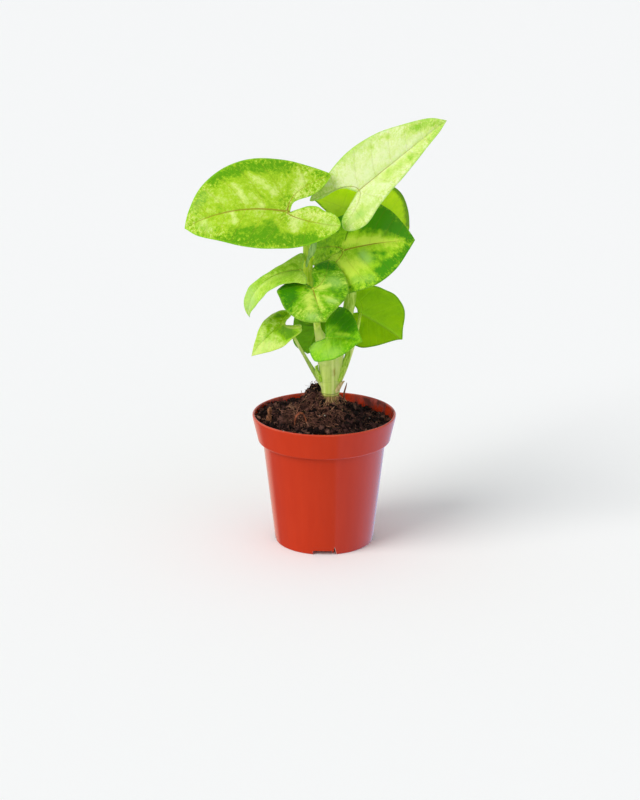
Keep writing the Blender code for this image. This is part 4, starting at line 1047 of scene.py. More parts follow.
# For each leaf: its colours from pale to deep, of its edge, its veins and its hazy patches; how green it
# is at large; how strongly its veins show; its midrib's width and how far it runs; how mottled it is; and
# its markings as brush strokes from (u, v) to (u, v) in millimetres from the joint, with their reach and
# strength. A stroke of green over zero is greener, under zero paler.
MARBLING = {
    "leaf_upper_left": dict(
        pale=(212, 229, 130), mid=(166, 204, 34), deep=(94, 160, 0), edge=(140, 200, 24), vein=(146, 128, 34),
        haze=(164, 202, 86), base=0.50, veining=0.2, rib=(0.60, 40.0), mottle=1.25,
        green=[
            (-12, 11.4, 25, 12, 2.8, 0.5), (3, 7.5, 20, 8, 2.0, 0.3), (5, 5, 8, 5, 1.1, 0.25),
            (-12, 8.5, -5, 9.5, 1.8, 0.3), (3, -17.6, 26, -14.2, 2.9, 0.5), (-12, -16, -9, -17, 1.6, 0.35),
            (29, -8, 33, -5, 1.8, 0.2), (27, 9, 33, 5, 1.5, 0.12), (19.3, 5, 20, 0.8, 0.9, -0.35),
            (30, 5, 31.5, 1, 1.4, -0.3), (-4, 7, -3, 1, 1.6, -0.42), (-12, 0, -4, -0.6, 1.8, -0.3),
            (-18, 5, -14, 1, 2.0, -0.15), (5, -6, 14, -14, 1.2, -0.36), (15, -3, 18.5, -10, 1.0, -0.38),
            (-3.2, -7, -3, -15, 1.8, -0.36), (9, -1.5, 13, -6, 1.1, -0.16), (22, -3, 26, -7, 1.4, -0.12),
            (0.6, -3, 1.6, -15, 0.9, 0.12), (3, -3, 7, -9, 0.9, 0.1), (15, 3.2, 14, 1, 1.3, 0.1)],
        hazy=[(-19, 4, -15, 3, 2.0, 0.7), (29, -8, 33, -5, 2.2, 0.5), (30, 5, 33, 2, 2.0, 0.5)]),
    "leaf_upper_right": dict(
        pale=(220, 231, 174), mid=(196, 220, 112), deep=(146, 198, 50), edge=(160, 205, 84),
        vein=(150, 142, 70), haze=(186, 216, 122), base=0.26, veining=0.16, rib=(0.34, 41.0), mottle=0.8,
        green=[
            (31, 5, 38, 2, 2.2, 0.5), (32, -2.5, 38, -1.2, 1.5, 0.45), (26, 5.5, 30, 4.5, 2.0, 0.2),
            (0, 13, 12, 13.2, 0.9, 0.3), (-17, 8, -6, 8, 2.6, 0.24), (13, 9.8, 13.4, 9.4, 0.8, 0.45),
            (15, 12, 16, 11.6, 0.8, 0.3), (20, 9, 21, 8.6, 1.1, 0.3), (12, -3, 27, -3.4, 2.2, 0.3),
            (-9, -4, -11.5, -9, 1.9, 0.5), (-3, -9, -8, -12.5, 3.0, 0.3), (-5, -9, 5, -10.3, 1.4, 0.24),
            (-11, -4, -10, -2.8, 0.9, 0.5), (13, -1.8, 13.2, -1.6, 0.9, 0.3),
            (22.5, -4, 22.7, -3.4, 1.0, 0.3), (0, 4, 20, 3.4, 3.6, -0.14), (-6, 9, 0, 6, 2.4, -0.1),
            (6, -2, 10, -8, 1.1, -0.14), (30, 2.2, 22, 2.2, 1.0, -0.15)],
        hazy=[(-9, -9, 3, -10.5, 1.6, 0.6), (2, 12.5, 16, 11.5, 1.4, 0.5)]),
    "leaf_behind_right": dict(
        pale=(198, 232, 20), mid=(180, 224, 0), deep=(110, 160, 0), edge=(92, 140, 8), vein=(170, 205, 50),
        haze=(170, 210, 60), base=0.42, veining=0.2, rib=(0.5, 20.0), mottle=0.5,
        green=[
            # The wide paler stroke over the lobe is painted light: it lifts the lobe where leaf_upper_right's
            # blade shades it.
            (8, 10, 14, 10, 2.0, -0.1), (-16, 5, -4, 6, 4.0, -0.3), (-19, 7, -14, 3.6, 0.7, 0.6),
            (8, 18, 17.4, 11, 1.5, 0.9), (17.4, 11, 19.5, 2, 1.6, 0.9)],
        hazy=[(-13, 5, -5, 5, 3.0, 0.6)]),
    "leaf_right": dict(
        pale=(204, 232, 74), mid=(158, 208, 26), deep=(70, 150, 0), edge=(66, 142, 2), vein=(140, 104, 30),
        haze=(150, 200, 96), base=0.5, veining=0.14, rib=(0.42, 17.0), mottle=0.95,
        green=[
            (3, 12, 15, 8, 4.6, 0.6), (14, 11, 22, 6, 3.8, 0.55), (22, 4, 26, 1, 2.2, 0.45),
            (24.5, -4, 14, -12.6, 2.0, 0.5), (12, -6, 17, -8.5, 1.5, 0.34), (12, -3.4, 16, -4.5, 0.9, 0.34),
            (10, -11.5, 16, -9.5, 1.5, 0.42), (0, -15.5, 10, -14.5, 1.2, 0.2), (-15, 6, -3, 3, 4.0, 0.16),
            (1, 2.4, 14, 2.2, 1.5, -0.45), (9, 1.2, 23, 0.1, 1.1, -0.5), (3, 3, 6, 5, 1.1, -0.25),
            (15, 2.5, 15.4, 5, 0.7, -0.3), (9, 3, 9.6, 5, 0.6, -0.25), (-4, -3, 5, -9, 2.4, -0.42),
            (0, -6, 3, -10, 1.8, -0.25), (5, -5, 11, -12, 1.4, -0.38), (17, -1.5, 21, -2, 1.1, -0.3),
            (-6, -6, -3, -12, 2.2, -0.1)],
        hazy=[(8, -3.6, 9.4, -5.6, 1.9, 1.0), (4, -12.5, 10, -13, 1.6, 0.5)]),
    "leaf_drooping": dict(
        pale=(200, 230, 106), mid=(166, 208, 54), deep=(126, 182, 14), edge=(160, 205, 80),
        vein=(140, 168, 40), haze=(174, 212, 112), base=0.5, veining=0.14, rib=(0.5, 14.0), mottle=0.9,
        green=[
            (0.5, 0, 4, 1.2, 1.1, 0.6), (1, -1.5, 3, -2.5, 0.7, 0.4), (4, 3.5, 9, 4, 1.2, 0.28),
            (4, 6, 9, 6.3, 1.0, 0.22), (5, -1.5, 10, -2, 0.9, 0.22), (12, 2, 24, 0.5, 1.3, -0.32),
            (18, 4, 22, 2, 1.0, -0.28), (10, -2.2, 2, -3.4, 0.6, -0.2), (1.5, 4, 3, 7, 0.8, -0.2),
            (16, -1, 25, -3, 0.8, 0.14)],
        hazy=[(22, -1, 30, 0, 3.4, 0.9), (22, 4, 26, 2.5, 1.8, 0.7)]),
    "leaf_centre": dict(
        pale=(198, 224, 88), mid=(120, 184, 0), deep=(56, 132, 0), edge=(120, 160, 40), vein=(150, 132, 34),
        haze=(160, 206, 104), base=0.46, veining=0.14, rib=(0.46, 6.0), mottle=1.0,
        green=[
            (-11, 4, -9, 9, 2.1, 0.6), (-4, -9, 1, -11, 2.8, 0.62), (3, -7.5, 6, -11, 1.9, 0.5),
            (-3, -5, -1, -7, 1.9, 0.42), (2, 6.5, 5, 8, 1.3, 0.32), (8, 2.6, 13, 4.6, 1.0, 0.18),
            (3, 10.4, 9, 9, 1.4, 0.2), (-6, 1.2, -2, 1, 1.0, 0.4), (-2.5, -1, 1, -2.4, 0.9, 0.35),
            (2, -2.2, 9, -3.2, 1.8, -0.42), (0, 6, 0.6, 2, 1.1, -0.42), (-4, 4, 0, 3, 1.1, -0.22),
            (5, 3, 9, 7, 0.8, -0.4), (3, 0.9, 11, 0.8, 0.8, -0.3), (4, -5, 7.4, -9, 0.6, -0.2),
            (11, -5, 13, -2.4, 1.2, -0.18), (9, -4, 10, -8, 0.7, -0.15)],
        hazy=[(-2, 8, -1, 9, 2.6, 0.7), (7.6, 4.6, 8.6, 6.4, 1.2, 0.9), (12.5, -4.5, 13, -3, 1.8, 0.8)]),
    "leaf_lower_left": dict(
        pale=(206, 228, 120), mid=(146, 196, 0), deep=(96, 152, 0), edge=(190, 215, 90), vein=(180, 210, 60),
        haze=(196, 220, 118), base=0.44, veining=0.12, rib=(0.5, 4.0), mottle=0.6,
        green=[
            (1.2, 3, 2, 9, 1.4, 0.75), (3.4, 1, 4, 9, 1.0, 0.45), (-3, -2.6, 0, -3.6, 1.1, 0.45),
            (4.5, -2.3, 5.5, -3, 0.6, 0.3), (8.5, 8.5, 12, 2, 2.8, -0.34), (15, 1, 14, 1.5, 2.6, -0.34),
            (10, -1, 6, -3.6, 1.1, -0.3), (0, -5.5, 4, -5, 0.6, -0.36), (5.6, 5, 6, 1, 0.7, -0.14)],
        hazy=[(11, 4, 15, 1, 3.0, 0.7)]),
    "leaf_lower_behind": dict(
        pale=(124, 186, 0), mid=(110, 172, 0), deep=(90, 150, 0), edge=(90, 145, 6), vein=(126, 180, 30),
        haze=(130, 180, 60), base=0.5, veining=0.14, rib=(0.5, 13.0), mottle=0.3, green=[], hazy=[]),
    "leaf_lower_right": dict(
        pale=(170, 220, 0), mid=(152, 210, 0), deep=(124, 188, 0), edge=(96, 150, 4), vein=(150, 200, 40),
        haze=(140, 190, 60), base=0.46, veining=0.16, rib=(0.5, 19.0), mottle=0.35,
        green=[
            (8, 9, 13, 7, 3.0, -0.25), (12, -3, 15, -4, 3.0, -0.15), (0, -12, 4, -13, 2.6, 0.2),
            (-4, -8, 0, -10, 2.6, 0.25), (3, 5, 6, 12, 1.6, 0.25), (6, 1, 9, 5, 1.6, 0.12)],
        hazy=[]),
    "leaf_low_front": dict(
        pale=(166, 216, 44), mid=(118, 188, 0), deep=(66, 146, 0), edge=(90, 156, 10), vein=(150, 204, 26),
        haze=(152, 204, 84), base=0.5, veining=0.12, rib=(0.5, 3.0), mottle=0.9,
        green=[
            (2, 9, 8, 7, 3.6, 0.6), (-1, 6.5, 1, 7, 1.8, 0.4), (7, 4, 12, 4, 1.4, 0.42),
            (9, 0.1, 13, 0.2, 0.7, 0.3), (4, 1.8, 10, 1.6, 0.7, -0.5), (0, 4, 3, 4.2, 1.1, -0.25),
            (1, -2, 3, -3.5, 1.3, -0.3), (-4, -4, 6, -6.4, 2.6, -0.34)],
        hazy=[(-4, -4, -3, -3.6, 2.4, 0.8), (3, -6.6, 7, -6.4, 2.6, 0.8)]),
}


def brushed(strokes, flat):
    """What a set of brush strokes adds up to at each flat point, in metres from the joint."""
    points = np.asarray(flat) * 1000.0
    total = np.zeros(len(points))
    for from_u, from_v, to_u, to_v, reach, strength in strokes:
        start = np.array((from_u, from_v))
        step = np.array((to_u, to_v)) - start
        share = np.clip((points - start) @ step / float(step @ step), 0.0, 1.0)
        away = np.linalg.norm(points - start - share[:, None] * step, axis=1) / reach
        total += strength * np.exp(-away ** 2)
    return total


def leaf_finish(name, tones):
    """Waxy leaf skin: marbled in three greens, with its edge, its veins and a net of fine ones."""
    made, shader, spot = finish_of(name, roughness=0.42, specular=0.2)
    shader.inputs["Subsurface Weight"].default_value = 0.3
    shader.inputs["Subsurface Radius"].default_value = (0.6, 1.0, 0.12)
    shader.inputs["Subsurface Scale"].default_value = 0.0006
    green, hazy, edge, vein, rib = (spot.mark(label) for label in ("green", "hazy", "edge", "vein", "rib"))
    growth = spot.mark("grown", "Vector")
    streaks = growth.grain(3.2, detail=4.0, roughness=0.65, warp=0.25, stretch=(1.0, 0.16, 3.7))
    patches = spot.grain(330.0, detail=5.0, roughness=0.68)
    blots = spot.grain(950.0, detail=3.0, roughness=0.65) * 0.5
    blots = blots + growth.grain(1.0, detail=3.0, roughness=0.65, warp=0.6, stretch=(11.0, 0.8, 3.7)) * 0.5
    specks = spot.grain(3200.0, detail=2.0, roughness=0.6)
    speckled = (blots - 0.5) * 2.6 + (specks - 0.5) * 0.7
    rimward = edge.step(7.0, 1.0) * 0.7 + 0.3
    share = green + (streaks - 0.5) * 0.55 + (patches - 0.5) * 0.9 + speckled * rimward * tones["mottle"]
    colour = share.shades((0.05, rgb(*tones["pale"])), (0.5, rgb(*tones["mid"])), (0.95, rgb(*tones["deep"])))
    colour = (hazy * (patches * 0.8 + blots * 0.6 + 0.1)).paint(colour, rgb(*tones["haze"]))
    rim = edge.step(0.9, 0.1) * (patches * 0.6 + specks * 0.7).step(0.4, 0.7)
    colour = (rim * 0.7).paint(colour, rgb(*tones["edge"]))
    net = spot.node("ShaderNodeTexVoronoi", {"feature": "DISTANCE_TO_EDGE"}, {"Vector": spot, "Scale": 900.0})
    colour = (net.step(0.05, 0.0) * 0.5 * tones["veining"]).paint(colour, rgb(*tones["vein"]))
    colour = (vein.step(0.24, 0.04) * tones["veining"]).paint(colour, rgb(*tones["vein"]))
    width, _ = tones["rib"]
    colour = (rib.step(width, 0.4 * width) * 0.8).paint(colour, rgb(*tones["vein"]))
    feed(shader.inputs["Base Color"], colour)
    feed(shader.inputs["Roughness"], patches * 0.2 + 0.32)
    relief(shader, vein.step(0.0, 0.5) * 0.6 + net.step(0.0, 0.15) * 0.25 + specks * 0.1, 0.00010)
    return made


for name, leaf in LEAVES.items():
    piece = blade(name, leaf)
    wear(piece, leaf_finish(name.replace("leaf", "skin"), MARBLING[name]))
    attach(piece, "root")
    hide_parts(name)
    plain = name in ("leaf_lower_behind", "leaf_lower_right")

# The stem
# A fleshy green stem that has rooted in the peat, ringed with the scars of shed leaves. Each leaf stalk
# comes out of it as from a sheath, and all of it has grown together as one piece.

TRUNK = [
    (0.0018, 0.003, 0.048, 0.0026), (0.0018, 0.003, 0.056, 0.0028), (0.0018, 0.003, 0.057, 0.003),
    (0.0018, 0.003, 0.058, 0.00305), (0.0016, 0.003, 0.064, 0.0033), (0.0008, 0.003, 0.072, 0.0034),
    (-0.0008, 0.0028, 0.0785, 0.0026), (-0.0025, 0.0026, 0.0835, 0.0014), (-0.003, 0.0025, 0.09, 0.0015),
    (-0.0038, 0.002, 0.0962, 0.0015),
]
STALKS = {
    "leaf_upper_left": [
        (-0.0028, 0.003, 0.087, 0.0014), (-0.0044, 0.0037, 0.096, 0.0018), (-0.0059, 0.0042, 0.102, 0.0019),
        (-0.007, 0.0046, 0.108, 0.0014), (-0.0072, 0.005, 0.115, 0.0009), (-0.0095, 0.0036, 0.1215, 0.0008),
        (-0.0125, 0.0006, 0.1262, 0.0007)],
    "leaf_upper_right": [
        (-0.0026, 0.0032, 0.084, 0.0011), (-0.0028, 0.0052, 0.091, 0.0011), (-0.0006, 0.0074, 0.099, 0.0011),
        (0.0034, 0.0086, 0.112, 0.001), (0.0062, 0.0096, 0.119, 0.0009), (0.0092, 0.013, 0.1265, 0.0009),
        (0.0124, 0.0124, 0.133, 0.0008)],
    "leaf_behind_right": [
        (-0.0022, 0.0036, 0.082, 0.001), (-0.0024, 0.0072, 0.089, 0.001), (0.001, 0.0118, 0.0985, 0.001),
        (0.007, 0.0165, 0.108, 0.0009), (0.0122, 0.0205, 0.1165, 0.0008)],
    "leaf_right": [
        (0.0028, 0.0032, 0.053, 0.0016), (0.0042, 0.0034, 0.059, 0.0019), (0.0052, 0.0036, 0.069, 0.0019),
        (0.0068, 0.004, 0.08, 0.0016), (0.0088, 0.0044, 0.089, 0.0014), (0.0102, 0.0056, 0.098, 0.0011),
        (0.0106, 0.0074, 0.106, 0.0009)],
    "leaf_drooping": [
        (-0.0028, 0.0016, 0.0875, 0.001), (-0.0038, -0.001, 0.0935, 0.0009),
        (-0.005, -0.0018, 0.098, 0.0008), (-0.0083, -0.0014, 0.1037, 0.0007)],
    "leaf_centre": [
        (-0.0024, 0.0018, 0.085, 0.0011), (-0.0031, -0.003, 0.0925, 0.0009),
        (-0.0039, -0.007, 0.098, 0.0007)],
    "leaf_lower_left": [
        (0.0004, 0.0022, 0.06, 0.0012), (-0.003, 0.0012, 0.0655, 0.001), (-0.0074, 0.0018, 0.073, 0.0007),
        (-0.0112, 0.0034, 0.0795, 0.0006), (-0.0134, 0.005, 0.083, 0.0006)],
    "leaf_lower_behind": [
        (0.0, 0.004, 0.072, 0.001), (-0.001, 0.0085, 0.079, 0.0008)],
    "leaf_lower_right": [
        (0.0032, 0.003, 0.058, 0.0014), (0.0072, 0.0034, 0.066, 0.0011), (0.0103, 0.0044, 0.074, 0.0008),
        (0.0124, 0.0056, 0.0815, 0.0007)],
    "leaf_low_front": [
        (0.001, 0.0016, 0.072, 0.0011), (0.0018, -0.0028, 0.077, 0.0008)],
}
STALK_APPROACH = 0.0022
STALK_TIP_RADIUS = 0.0006
STEM_GRAIN = 0.00022
STAIN_PLACE = (0.0038, 0.0668)  # x and height of a yellow-brown stain
CROWN_TOP = 0.0590  # the stem is brown below this
SCARS = ((0.0572, 0.0003, 0.8), (0.0583, 0.00025, 0.7), (0.0630, 0.0002, 0.15))  # height, width, strength


def stalk_points(name):
    """A stalk's route, ending square to the underside of its blade and touching it."""
    up = leaf_axes(LEAVES[name])[2]
    joint = Vector(LEAVES[name]["at"])
    points = list(STALKS[name])
    for below in (STALK_APPROACH, RIB_GROOVE):
        points.append((*(joint - up * below), STALK_TIP_RADIUS))
    return spline(points, 12 * len(points))


def tube(points, sides, ends=3):
    """A closed tube along points of (x, y, z, radius) with rounded ends: vertices and faces."""
    points = np.asarray(points, dtype=float)
    start, end = points[0], points[-1]
    lead = (points[1] - start)[:3] / np.linalg.norm((points[1] - start)[:3])
    tail = (end - points[-2])[:3] / np.linalg.norm((end - points[-2])[:3])
    caps = [math.pi / 2 * k / (ends + 1) for k in range(1, ends + 1)]
    head = [[*(start[:3] - lead * start[3] * math.cos(a)), start[3] * math.sin(a)] for a in caps]
    foot = [[*(end[:3] + tail * end[3] * math.cos(a)), end[3] * math.sin(a)] for a in reversed(caps)]
    path = np.array(head + points.tolist() + foot)
    across = Vector(lead).orthogonal().normalized()
    vertices = [Vector(start[:3] - lead * start[3])]
    for i, knot in enumerate(path):
        ahead = Vector((path[min(i + 1, len(path) - 1)] - path[max(i - 1, 0)])[:3]).normalized()
        across = (across - ahead * across.dot(ahead)).normalized()
        beside = ahead.cross(across)
        for k in range(sides):
            a = 2 * math.pi * k / sides
            vertices.append(Vector(knot[:3]) + (across * math.cos(a) + beside * math.sin(a)) * knot[3])
    vertices.append(Vector(end[:3] + tail * end[3]))
    last = len(vertices) - 1
    faces = [[0, 1 + (k + 1) % sides, 1 + k] for k in range(sides)]
    faces += ring_faces(len(path), sides, 1)
    faces += [[last, last - sides + k, last - sides + (k + 1) % sides] for k in range(sides)]
    return vertices, faces


def gathered(name, *shapes):
    """One object of several pairs of vertices and faces."""
    vertices, faces = [], []
    for some, their_faces in shapes:
        faces += [[i + len(vertices) for i in face] for face in their_faces]
        vertices += list(some)
    return place(name, mesh_of(name, vertices, faces))


trunk_path = spline(TRUNK, 90)
trunk_path[:, 3] *= [1.0 + 0.05 * noise_at(z * 900, 0.0, 3.0) for z in trunk_path[:, 2]]
routes = {name: stalk_points(name) for name in STALKS}
stem = gathered("stem_and_stalks", tube(trunk_path, 40), *[tube(route, 20) for route in routes.values()])
fused = stem.modifiers.new("fused", "REMESH")
fused.mode = "VOXEL"
fused.voxel_size = STEM_GRAIN
eased = stem.modifiers.new("eased", "CORRECTIVE_SMOOTH")
eased.factor = 0.5
eased.iterations = 6
eased.use_only_smooth = True
stem = settled(stem)

green, shell, spot = finish_of("stem_skin", roughness=0.45, specular=0.3)
shell.inputs["Subsurface Weight"].default_value = 0.3
shell.inputs["Subsurface Radius"].default_value = (0.9, 1.0, 0.3)
shell.inputs["Subsurface Scale"].default_value = 0.0010
heights = spot.part("Z")
sideways = spot.part("X")
streaks = spot.grain(900.0, detail=4.0, roughness=0.6, stretch=(1.0, 1.0, 0.05))
broad = spot.grain(420.0, detail=1.0, stretch=(1.0, 1.0, 0.04))
patches = spot.grain(260.0, detail=3.0)
wobble = heights + (patches - 0.5) * 0.0012
colour = (streaks * 0.5 + broad * 0.5).step(0.38, 0.62).paint(rgb(228, 240, 148), rgb(192, 216, 96))
stalk_green = streaks.step(0.35, 0.65).paint(rgb(222, 242, 92), rgb(176, 216, 40))
colour = heights.step(0.0760, 0.0900).paint(colour, stalk_green)
shaded = (sideways + patches * 0.002).step(-0.0002, -0.0022) * heights.step(0.0760, 0.0700)
colour = (shaded * 0.6).paint(colour, rgb(124, 166, 44))
colour = (patches.step(0.5, 0.7) * 0.25).paint(colour, rgb(140, 174, 60))
stain = (sideways - STAIN_PLACE[0]).maths("ABSOLUTE").step(0.0009, 0.0002)
stain = stain * (wobble - STAIN_PLACE[1]).maths("ABSOLUTE").step(0.0022, 0.0006)
colour = (stain * streaks.step(0.4, 0.6) * 0.8).paint(colour, rgb(170, 150, 50))
crown_brown = streaks.step(0.35, 0.65).paint(rgb(192, 184, 88), rgb(150, 120, 62))
colour = (wobble.step(CROWN_TOP, 0.0566) * 0.9).paint(colour, crown_brown)
broken = (patches + broad * 0.6).step(0.55, 0.75)
for height, width, strength in SCARS:
    ring = (wobble - height).maths("ABSOLUTE").step(width, 0.2 * width) * broken
    colour = (ring * strength).paint(colour, rgb(92, 104, 34))
specks = spot.grain(2600.0, detail=2.0).step(0.66, 0.74)
colour = (specks * 0.3).paint(colour, rgb(140, 130, 60))
feed(shell.inputs["Base Color"], colour)
feed(shell.inputs["Roughness"], patches * 0.2 + 0.35)
relief(shell, streaks * 0.8 + specks * 0.2, 0.00009)
wear(stem, green)
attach(stem, "root")
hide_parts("stem")

# The stalks' sheaths
# Thin wings at the foot of each leaf stalk that once wrapped the next leaf. They are papery and pale, open
# on one side, and frilled at the free edge; the oldest one is dry.

SHEATH_THICKNESS = 0.00014
SHEATH_STEPS = 30
SHEATH_STRIPS = 16
FRILL = 0.00022


def strip_faces(steps, strips):
    """The quads of a strip whose vertices run across it, row by row."""
    row = strips + 1
    starts = [i * row + k for i in range(steps) for k in range(strips)]
    return [[a, a + 1, a + row + 1, a + row] for a in starts]


def sheath_surface(route, low, high, facing, width, reach, flare, seed):
    """A strip that wraps a stalk between two heights, stands off at its edges and narrows at its top."""
    picked = [knot for knot in route if low <= knot[2] <= high]
    path = spline(picked[::max(len(picked) // 8, 1)], SHEATH_STEPS)
    vertices = []
    for i, knot in enumerate(path):
        share = i / SHEATH_STEPS
        ahead = Vector((path[min(i + 1, SHEATH_STEPS)] - path[max(i - 1, 0)])[:3]).normalized()
        front = Vector(facing)
        front = (front - ahead * front.dot(ahead)).normalized()
        beside = ahead.cross(front)
        spread = math.radians(width) / 2 * (1.0 - 0.7 * share ** 6)
        for k in range(SHEATH_STRIPS + 1):
            side = 2 * k / SHEATH_STRIPS - 1
            edge = abs(side) ** 3
            frill = FRILL * edge * noise_at(18.0 * share, 2.0 * side, seed)
            out = reach * (1.0 + 0.12 * math.sin(math.pi * share)) + flare * edge * share ** 1.5 + frill
            turn = spread * side
            vertices.append(Vector(knot[:3]) + (front * math.cos(turn) + beside * math.sin(turn)) * out)
    return vertices, strip_faces(SHEATH_STEPS, SHEATH_STRIPS)


def sheath_finish(name, pale, dark, edge):
    """Papery skin with fine veins along it and patches of the edge's colour."""
    made, shader, spot = finish_of(name, roughness=0.55, specular=0.15)
    veins = spot.grain(2200.0, detail=3.0, stretch=(1.0, 1.0, 0.06))
    colour = veins.step(0.36, 0.64).paint(rgb(*pale), rgb(*dark))
    colour = (spot.grain(500.0, detail=3.0).step(0.52, 0.66) * 0.5).paint(colour, rgb(*edge))
    feed(shader.inputs["Base Color"], colour)
    relief(shader, veins, 0.00005)
    return made


fresh_sheath = sheath_finish("sheath_fresh", (232, 250, 84), (184, 226, 30), (240, 252, 130))
pale_sheath = sheath_finish("sheath_pale", (208, 238, 108), (162, 208, 50), (228, 244, 160))
green_sheath = sheath_finish("sheath_green", (196, 224, 96), (146, 192, 44), (210, 234, 124))
dry_sheath = sheath_finish("sheath_dry", (238, 224, 160), (208, 182, 118), (160, 116, 72))
# sheath: its stalk, from and to what height, the way it faces, its width in degrees, radius, flare, finish
SHEATHS = {
    "sheath_upper_left": (
        "leaf_upper_left", 0.0990, 0.1125, (0.75, -0.7, 0.0), 170, 0.0022, 0.0011, fresh_sheath),
    "sheath_drooping": (
        "leaf_upper_left", 0.0985, 0.1115, (-0.5, -0.8, 0.0), 120, 0.0019, 0.0002, pale_sheath),
    "sheath_right": ("leaf_right", 0.0800, 0.1010, (-0.35, -0.9, 0.0), 230, 0.0018, 0.0004, green_sheath),
    "sheath_lower_left": (
        "leaf_lower_left", 0.0630, 0.0690, (0.95, -0.3, 0.0), 130, 0.0013, 0.0014, pale_sheath),
    "sheath_lower_right": (
        "leaf_lower_right", 0.0625, 0.0770, (-0.9, -0.5, 0.0), 150, 0.0016, 0.0006, green_sheath),
    "sheath_dry": ("leaf_lower_right", 0.0575, 0.0640, (0.9, -0.45, 0.0), 110, 0.0017, 0.0003, dry_sheath),
}
for number, (name, (stalk, low, high, facing, width, reach, flare, finish)) in enumerate(SHEATHS.items()):
    surface = sheath_surface(routes[stalk], low, high, facing, width, reach, flare, 3.0 * number)
    sheath = gathered(name, surface)
    thicken(sheath, SHEATH_THICKNESS)
    sheath = settled(sheath)
    wear(sheath, finish)
    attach(sheath, "root")

# The roots at the crown
# Short yellow-brown roots that leave the stem's foot all round and dive into the peat.

CROWN_ROOTS = 70
ROOT_ARCH = 0.0008  # how high a root rises on its way
ROOT_DIVE = 0.0016  # how deep its end goes in
ROOT_LENGTHS = (0.0016, 0.0090)
ROOT_RADII = (0.00006, 0.00014)


def crown_root(turn, length, radius, seed):
    """One root: out from the stem's foot, along the ground, and in."""
    points = []
    for i in range(7):
        share = i / 6
        around = turn + 0.35 * noise_at(share * 1.7, seed, 0.0)
        out = 0.0022 + length * share
        x = STEM_PIT[0] + out * math.cos(around)
        y = STEM_PIT[1] + out * math.sin(around)
        ground = soil_height(x, y) if out > STEM_PIT[2] else soil_height(*STEM_PIT[:2]) - 0.0002
        arch = math.sin(math.pi * min(share * 1.1, 1.0)) * (0.6 + noise_at(seed, share, 4.0))
        height = ground + 0.0005 + ROOT_ARCH * arch - ROOT_DIVE * share ** 3
        points.append((x, y, height, radius * (1.0 - 0.4 * share)))
    return tube(spline(points, 30), 7)


chance = np.random.default_rng(7)
roots = []
for i in range(CROWN_ROOTS):
    turn = 2 * math.pi * (i + chance.uniform(-0.4, 0.4)) / CROWN_ROOTS
    roots.append(crown_root(turn, chance.uniform(*ROOT_LENGTHS), chance.uniform(*ROOT_RADII), 3.7 * i))
crown_roots = gathered("crown_roots", *roots)
rooty, shell, spot = finish_of("crown_root_skin", roughness=0.65, specular=0.25)
colour = spot.grain(700.0, detail=3.0).step(0.35, 0.65).paint(rgb(214, 178, 124), rgb(158, 110, 84))
feed(shell.inputs["Base Color"], (spot.grain(2400.0).step(0.5, 0.7) * 0.5).paint(colour, rgb(78, 52, 36)))
wear(crown_roots, rooty)
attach(crown_roots, "root")

# The rolled leaf
# The youngest leaf, still rolled up tight round itself, so that its outer edge shows as a seam that winds
# up the spear. It stands in front of the stalk whose sheath it has left.

ROLLED_LEAF = [
    (-0.0068, 0.0026, 0.1072, 0.0005), (-0.0061, 0.0012, 0.1107, 0.0006), (-0.005, 0.0008, 0.113, 0.0011),
    (-0.0041, 0.0006, 0.1152, 0.0012), (-0.0036, 0.0005, 0.1172, 0.0009), (-0.0033, 0.0004, 0.1185, 0.0003),
]
ROLL_SIDES = 36


def rolled_surface(points):
    """A closed spear whose section steps in by a leaf's thickness at the seam."""
    vertices, faces = tube(points, ROLL_SIDES)
    for i, vertex in enumerate(vertices[1:-1]):
        ring, k = divmod(i, ROLL_SIDES)
        turn = (k / ROLL_SIDES + 0.02 * ring) % 1.0
        heart = Vector(points[min(max(ring - 3, 0), len(points) - 1)][:3])
        vertices[i + 1] = heart.lerp(vertex, 1.06 - 0.2 * turn ** 1.5)
    return vertices, faces


spear = gathered("rolled_spear", rolled_surface(spline(ROLLED_LEAF, 60)))
young, shell, spot = finish_of("young_leaf_skin", roughness=0.42, specular=0.4)
streaks = spot.grain(1500.0, detail=3.0, stretch=(1.0, 1.0, 0.1))
colour = streaks.step(0.35, 0.65).paint(rgb(174, 212, 116), rgb(128, 178, 78))
feed(shell.inputs["Base Color"], (spot.grain(500.0).step(0.5, 0.65) * 0.4).paint(colour, rgb(176, 208, 110)))
relief(shell, streaks, 0.00008)
wear(spear, young)
spear.data.set_sharp_from_angle(angle=math.radians(50))
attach(spear, "root")
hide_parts("rolled_leaf")

# The husk
# A dry strip of old sheath, paper-thin and rust brown, which has curled and stands in the peat like a
# hoop, with its ends buried.

HUSK_FEET = ((-0.0114, -0.0110), (-0.0066, -0.0104))
HUSK_TOP = 0.0543
HUSK_ROOT = 0.0480
HUSK_WIDTH = 0.0019
HUSK_THICKNESS = 0.00022
HUSK_HOLLOW = 0.00028
HUSK_STEPS = 48
HUSK_STRIPS = 6


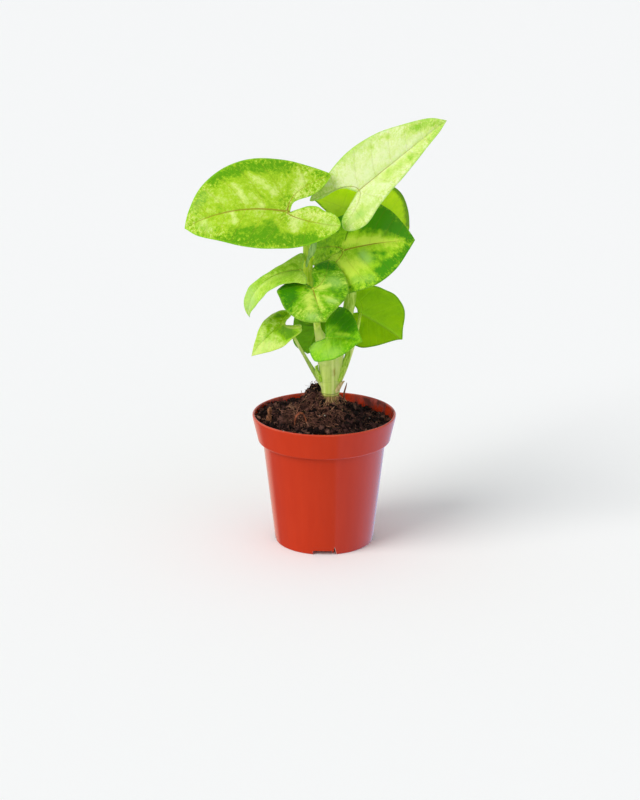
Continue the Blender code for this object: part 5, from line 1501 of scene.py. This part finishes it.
def husk_surface():
    """The strip's middle surface: a hoop, hollow along its length, with a ragged edge."""
    (left_x, left_y), (right_x, right_y) = HUSK_FEET
    across = Vector((left_y - right_y, right_x - left_x, 0.0)).normalized()
    vertices = []
    for i in range(HUSK_STEPS + 1):
        angle = math.pi * i / HUSK_STEPS
        share = (1 - math.cos(angle)) / 2
        rise = math.sin(angle) ** 0.7
        middle = Vector((left_x + (right_x - left_x) * share, left_y + (right_y - left_y) * share,
                         HUSK_ROOT + (HUSK_TOP - HUSK_ROOT) * rise))
        aside = math.cos(math.pi - angle)
        out = Vector((aside * across.y, -aside * across.x, rise))
        for k in range(HUSK_STRIPS + 1):
            side = 2 * k / HUSK_STRIPS - 1
            ragged = 1.0 + 0.18 * noise_at(i * 0.35, 4.0 * side, 2.0)
            hollow = HUSK_HOLLOW * (1 - side * side)
            vertices.append(middle + across * side * ragged * HUSK_WIDTH / 2 - out.normalized() * hollow)
    return vertices, strip_faces(HUSK_STEPS, HUSK_STRIPS)


husk = gathered("husk_hoop", husk_surface())
thicken(husk, HUSK_THICKNESS)
husk = settled(husk)
rust, shell, spot = finish_of("dry_husk_skin", roughness=0.7, specular=0.25)
fibres = spot.grain(2600.0, detail=3.0, stretch=(0.25, 1.0, 0.25))
colour = fibres.step(0.35, 0.65).paint(rgb(160, 88, 56), rgb(104, 56, 38))
feed(shell.inputs["Base Color"], (spot.grain(700.0).step(0.5, 0.66) * 0.5).paint(colour, rgb(74, 40, 30)))
relief(shell, fibres, 0.0001)
wear(husk, rust)
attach(husk, "root")
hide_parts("husk")

# The bark chip
# A splinter of composted bark from the peat mix, which stands on end at the left of the pot, broken and
# fibrous, tan where its inside shows. A thin sliver of the same stands by the stem's foot.

BARK_FOOT = (-0.0212, -0.0060, 0.0484)
BARK_TOP = (-0.0206, -0.0060, 0.0548)
BARK_RADIUS = 0.0012
BARK_KNOTS = ((0.0, 1.0), (0.35, 0.95), (0.6, 0.6), (0.8, 0.85), (0.93, 0.75), (1.0, 0.35))  # share up, size

def bark_surface():
    """A rough splinter, narrowed at places and broken off at the top."""
    foot, top = Vector(BARK_FOOT), Vector(BARK_TOP)
    knots = [(*foot.lerp(top, share), BARK_RADIUS * size) for share, size in BARK_KNOTS]
    vertices, faces = tube(spline(knots, 40), 28)
    axis = (top - foot).normalized()
    for i, vertex in enumerate(vertices):
        heart = foot + axis * (vertex - foot).dot(axis)
        rough = noise_at(vertex.x * 2600, vertex.y * 2600, vertex.z * 500)
        rough += 0.6 * noise.noise(vertex * 4000)
        vertices[i] = heart.lerp(vertex, 0.9 + 0.22 * rough)
    return vertices, faces


SLIVER = [
    (0.0074, 0.0034, 0.054, 0.00036), (0.0077, 0.0034, 0.058, 0.00034), (0.0084, 0.0035, 0.0606, 0.00024),
    (0.0087, 0.0036, 0.0619, 0.00008),
]


chip = gathered("bark_splinter", bark_surface(), tube(spline(SLIVER, 16), 8))
wood, shell, spot = finish_of("bark_wood", roughness=0.85, specular=0.2)
fibres = spot.grain(2200.0, detail=4.0, roughness=0.65, stretch=(1.0, 1.0, 0.15))
colour = fibres.step(0.35, 0.65).paint(rgb(156, 104, 70), rgb(88, 54, 38))
feed(shell.inputs["Base Color"], (spot.grain(900.0).step(0.52, 0.66) * 0.6).paint(colour, rgb(62, 40, 28)))
relief(shell, fibres, 0.0002)
wear(chip, wood)
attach(chip, "root")
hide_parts("bark_chip")
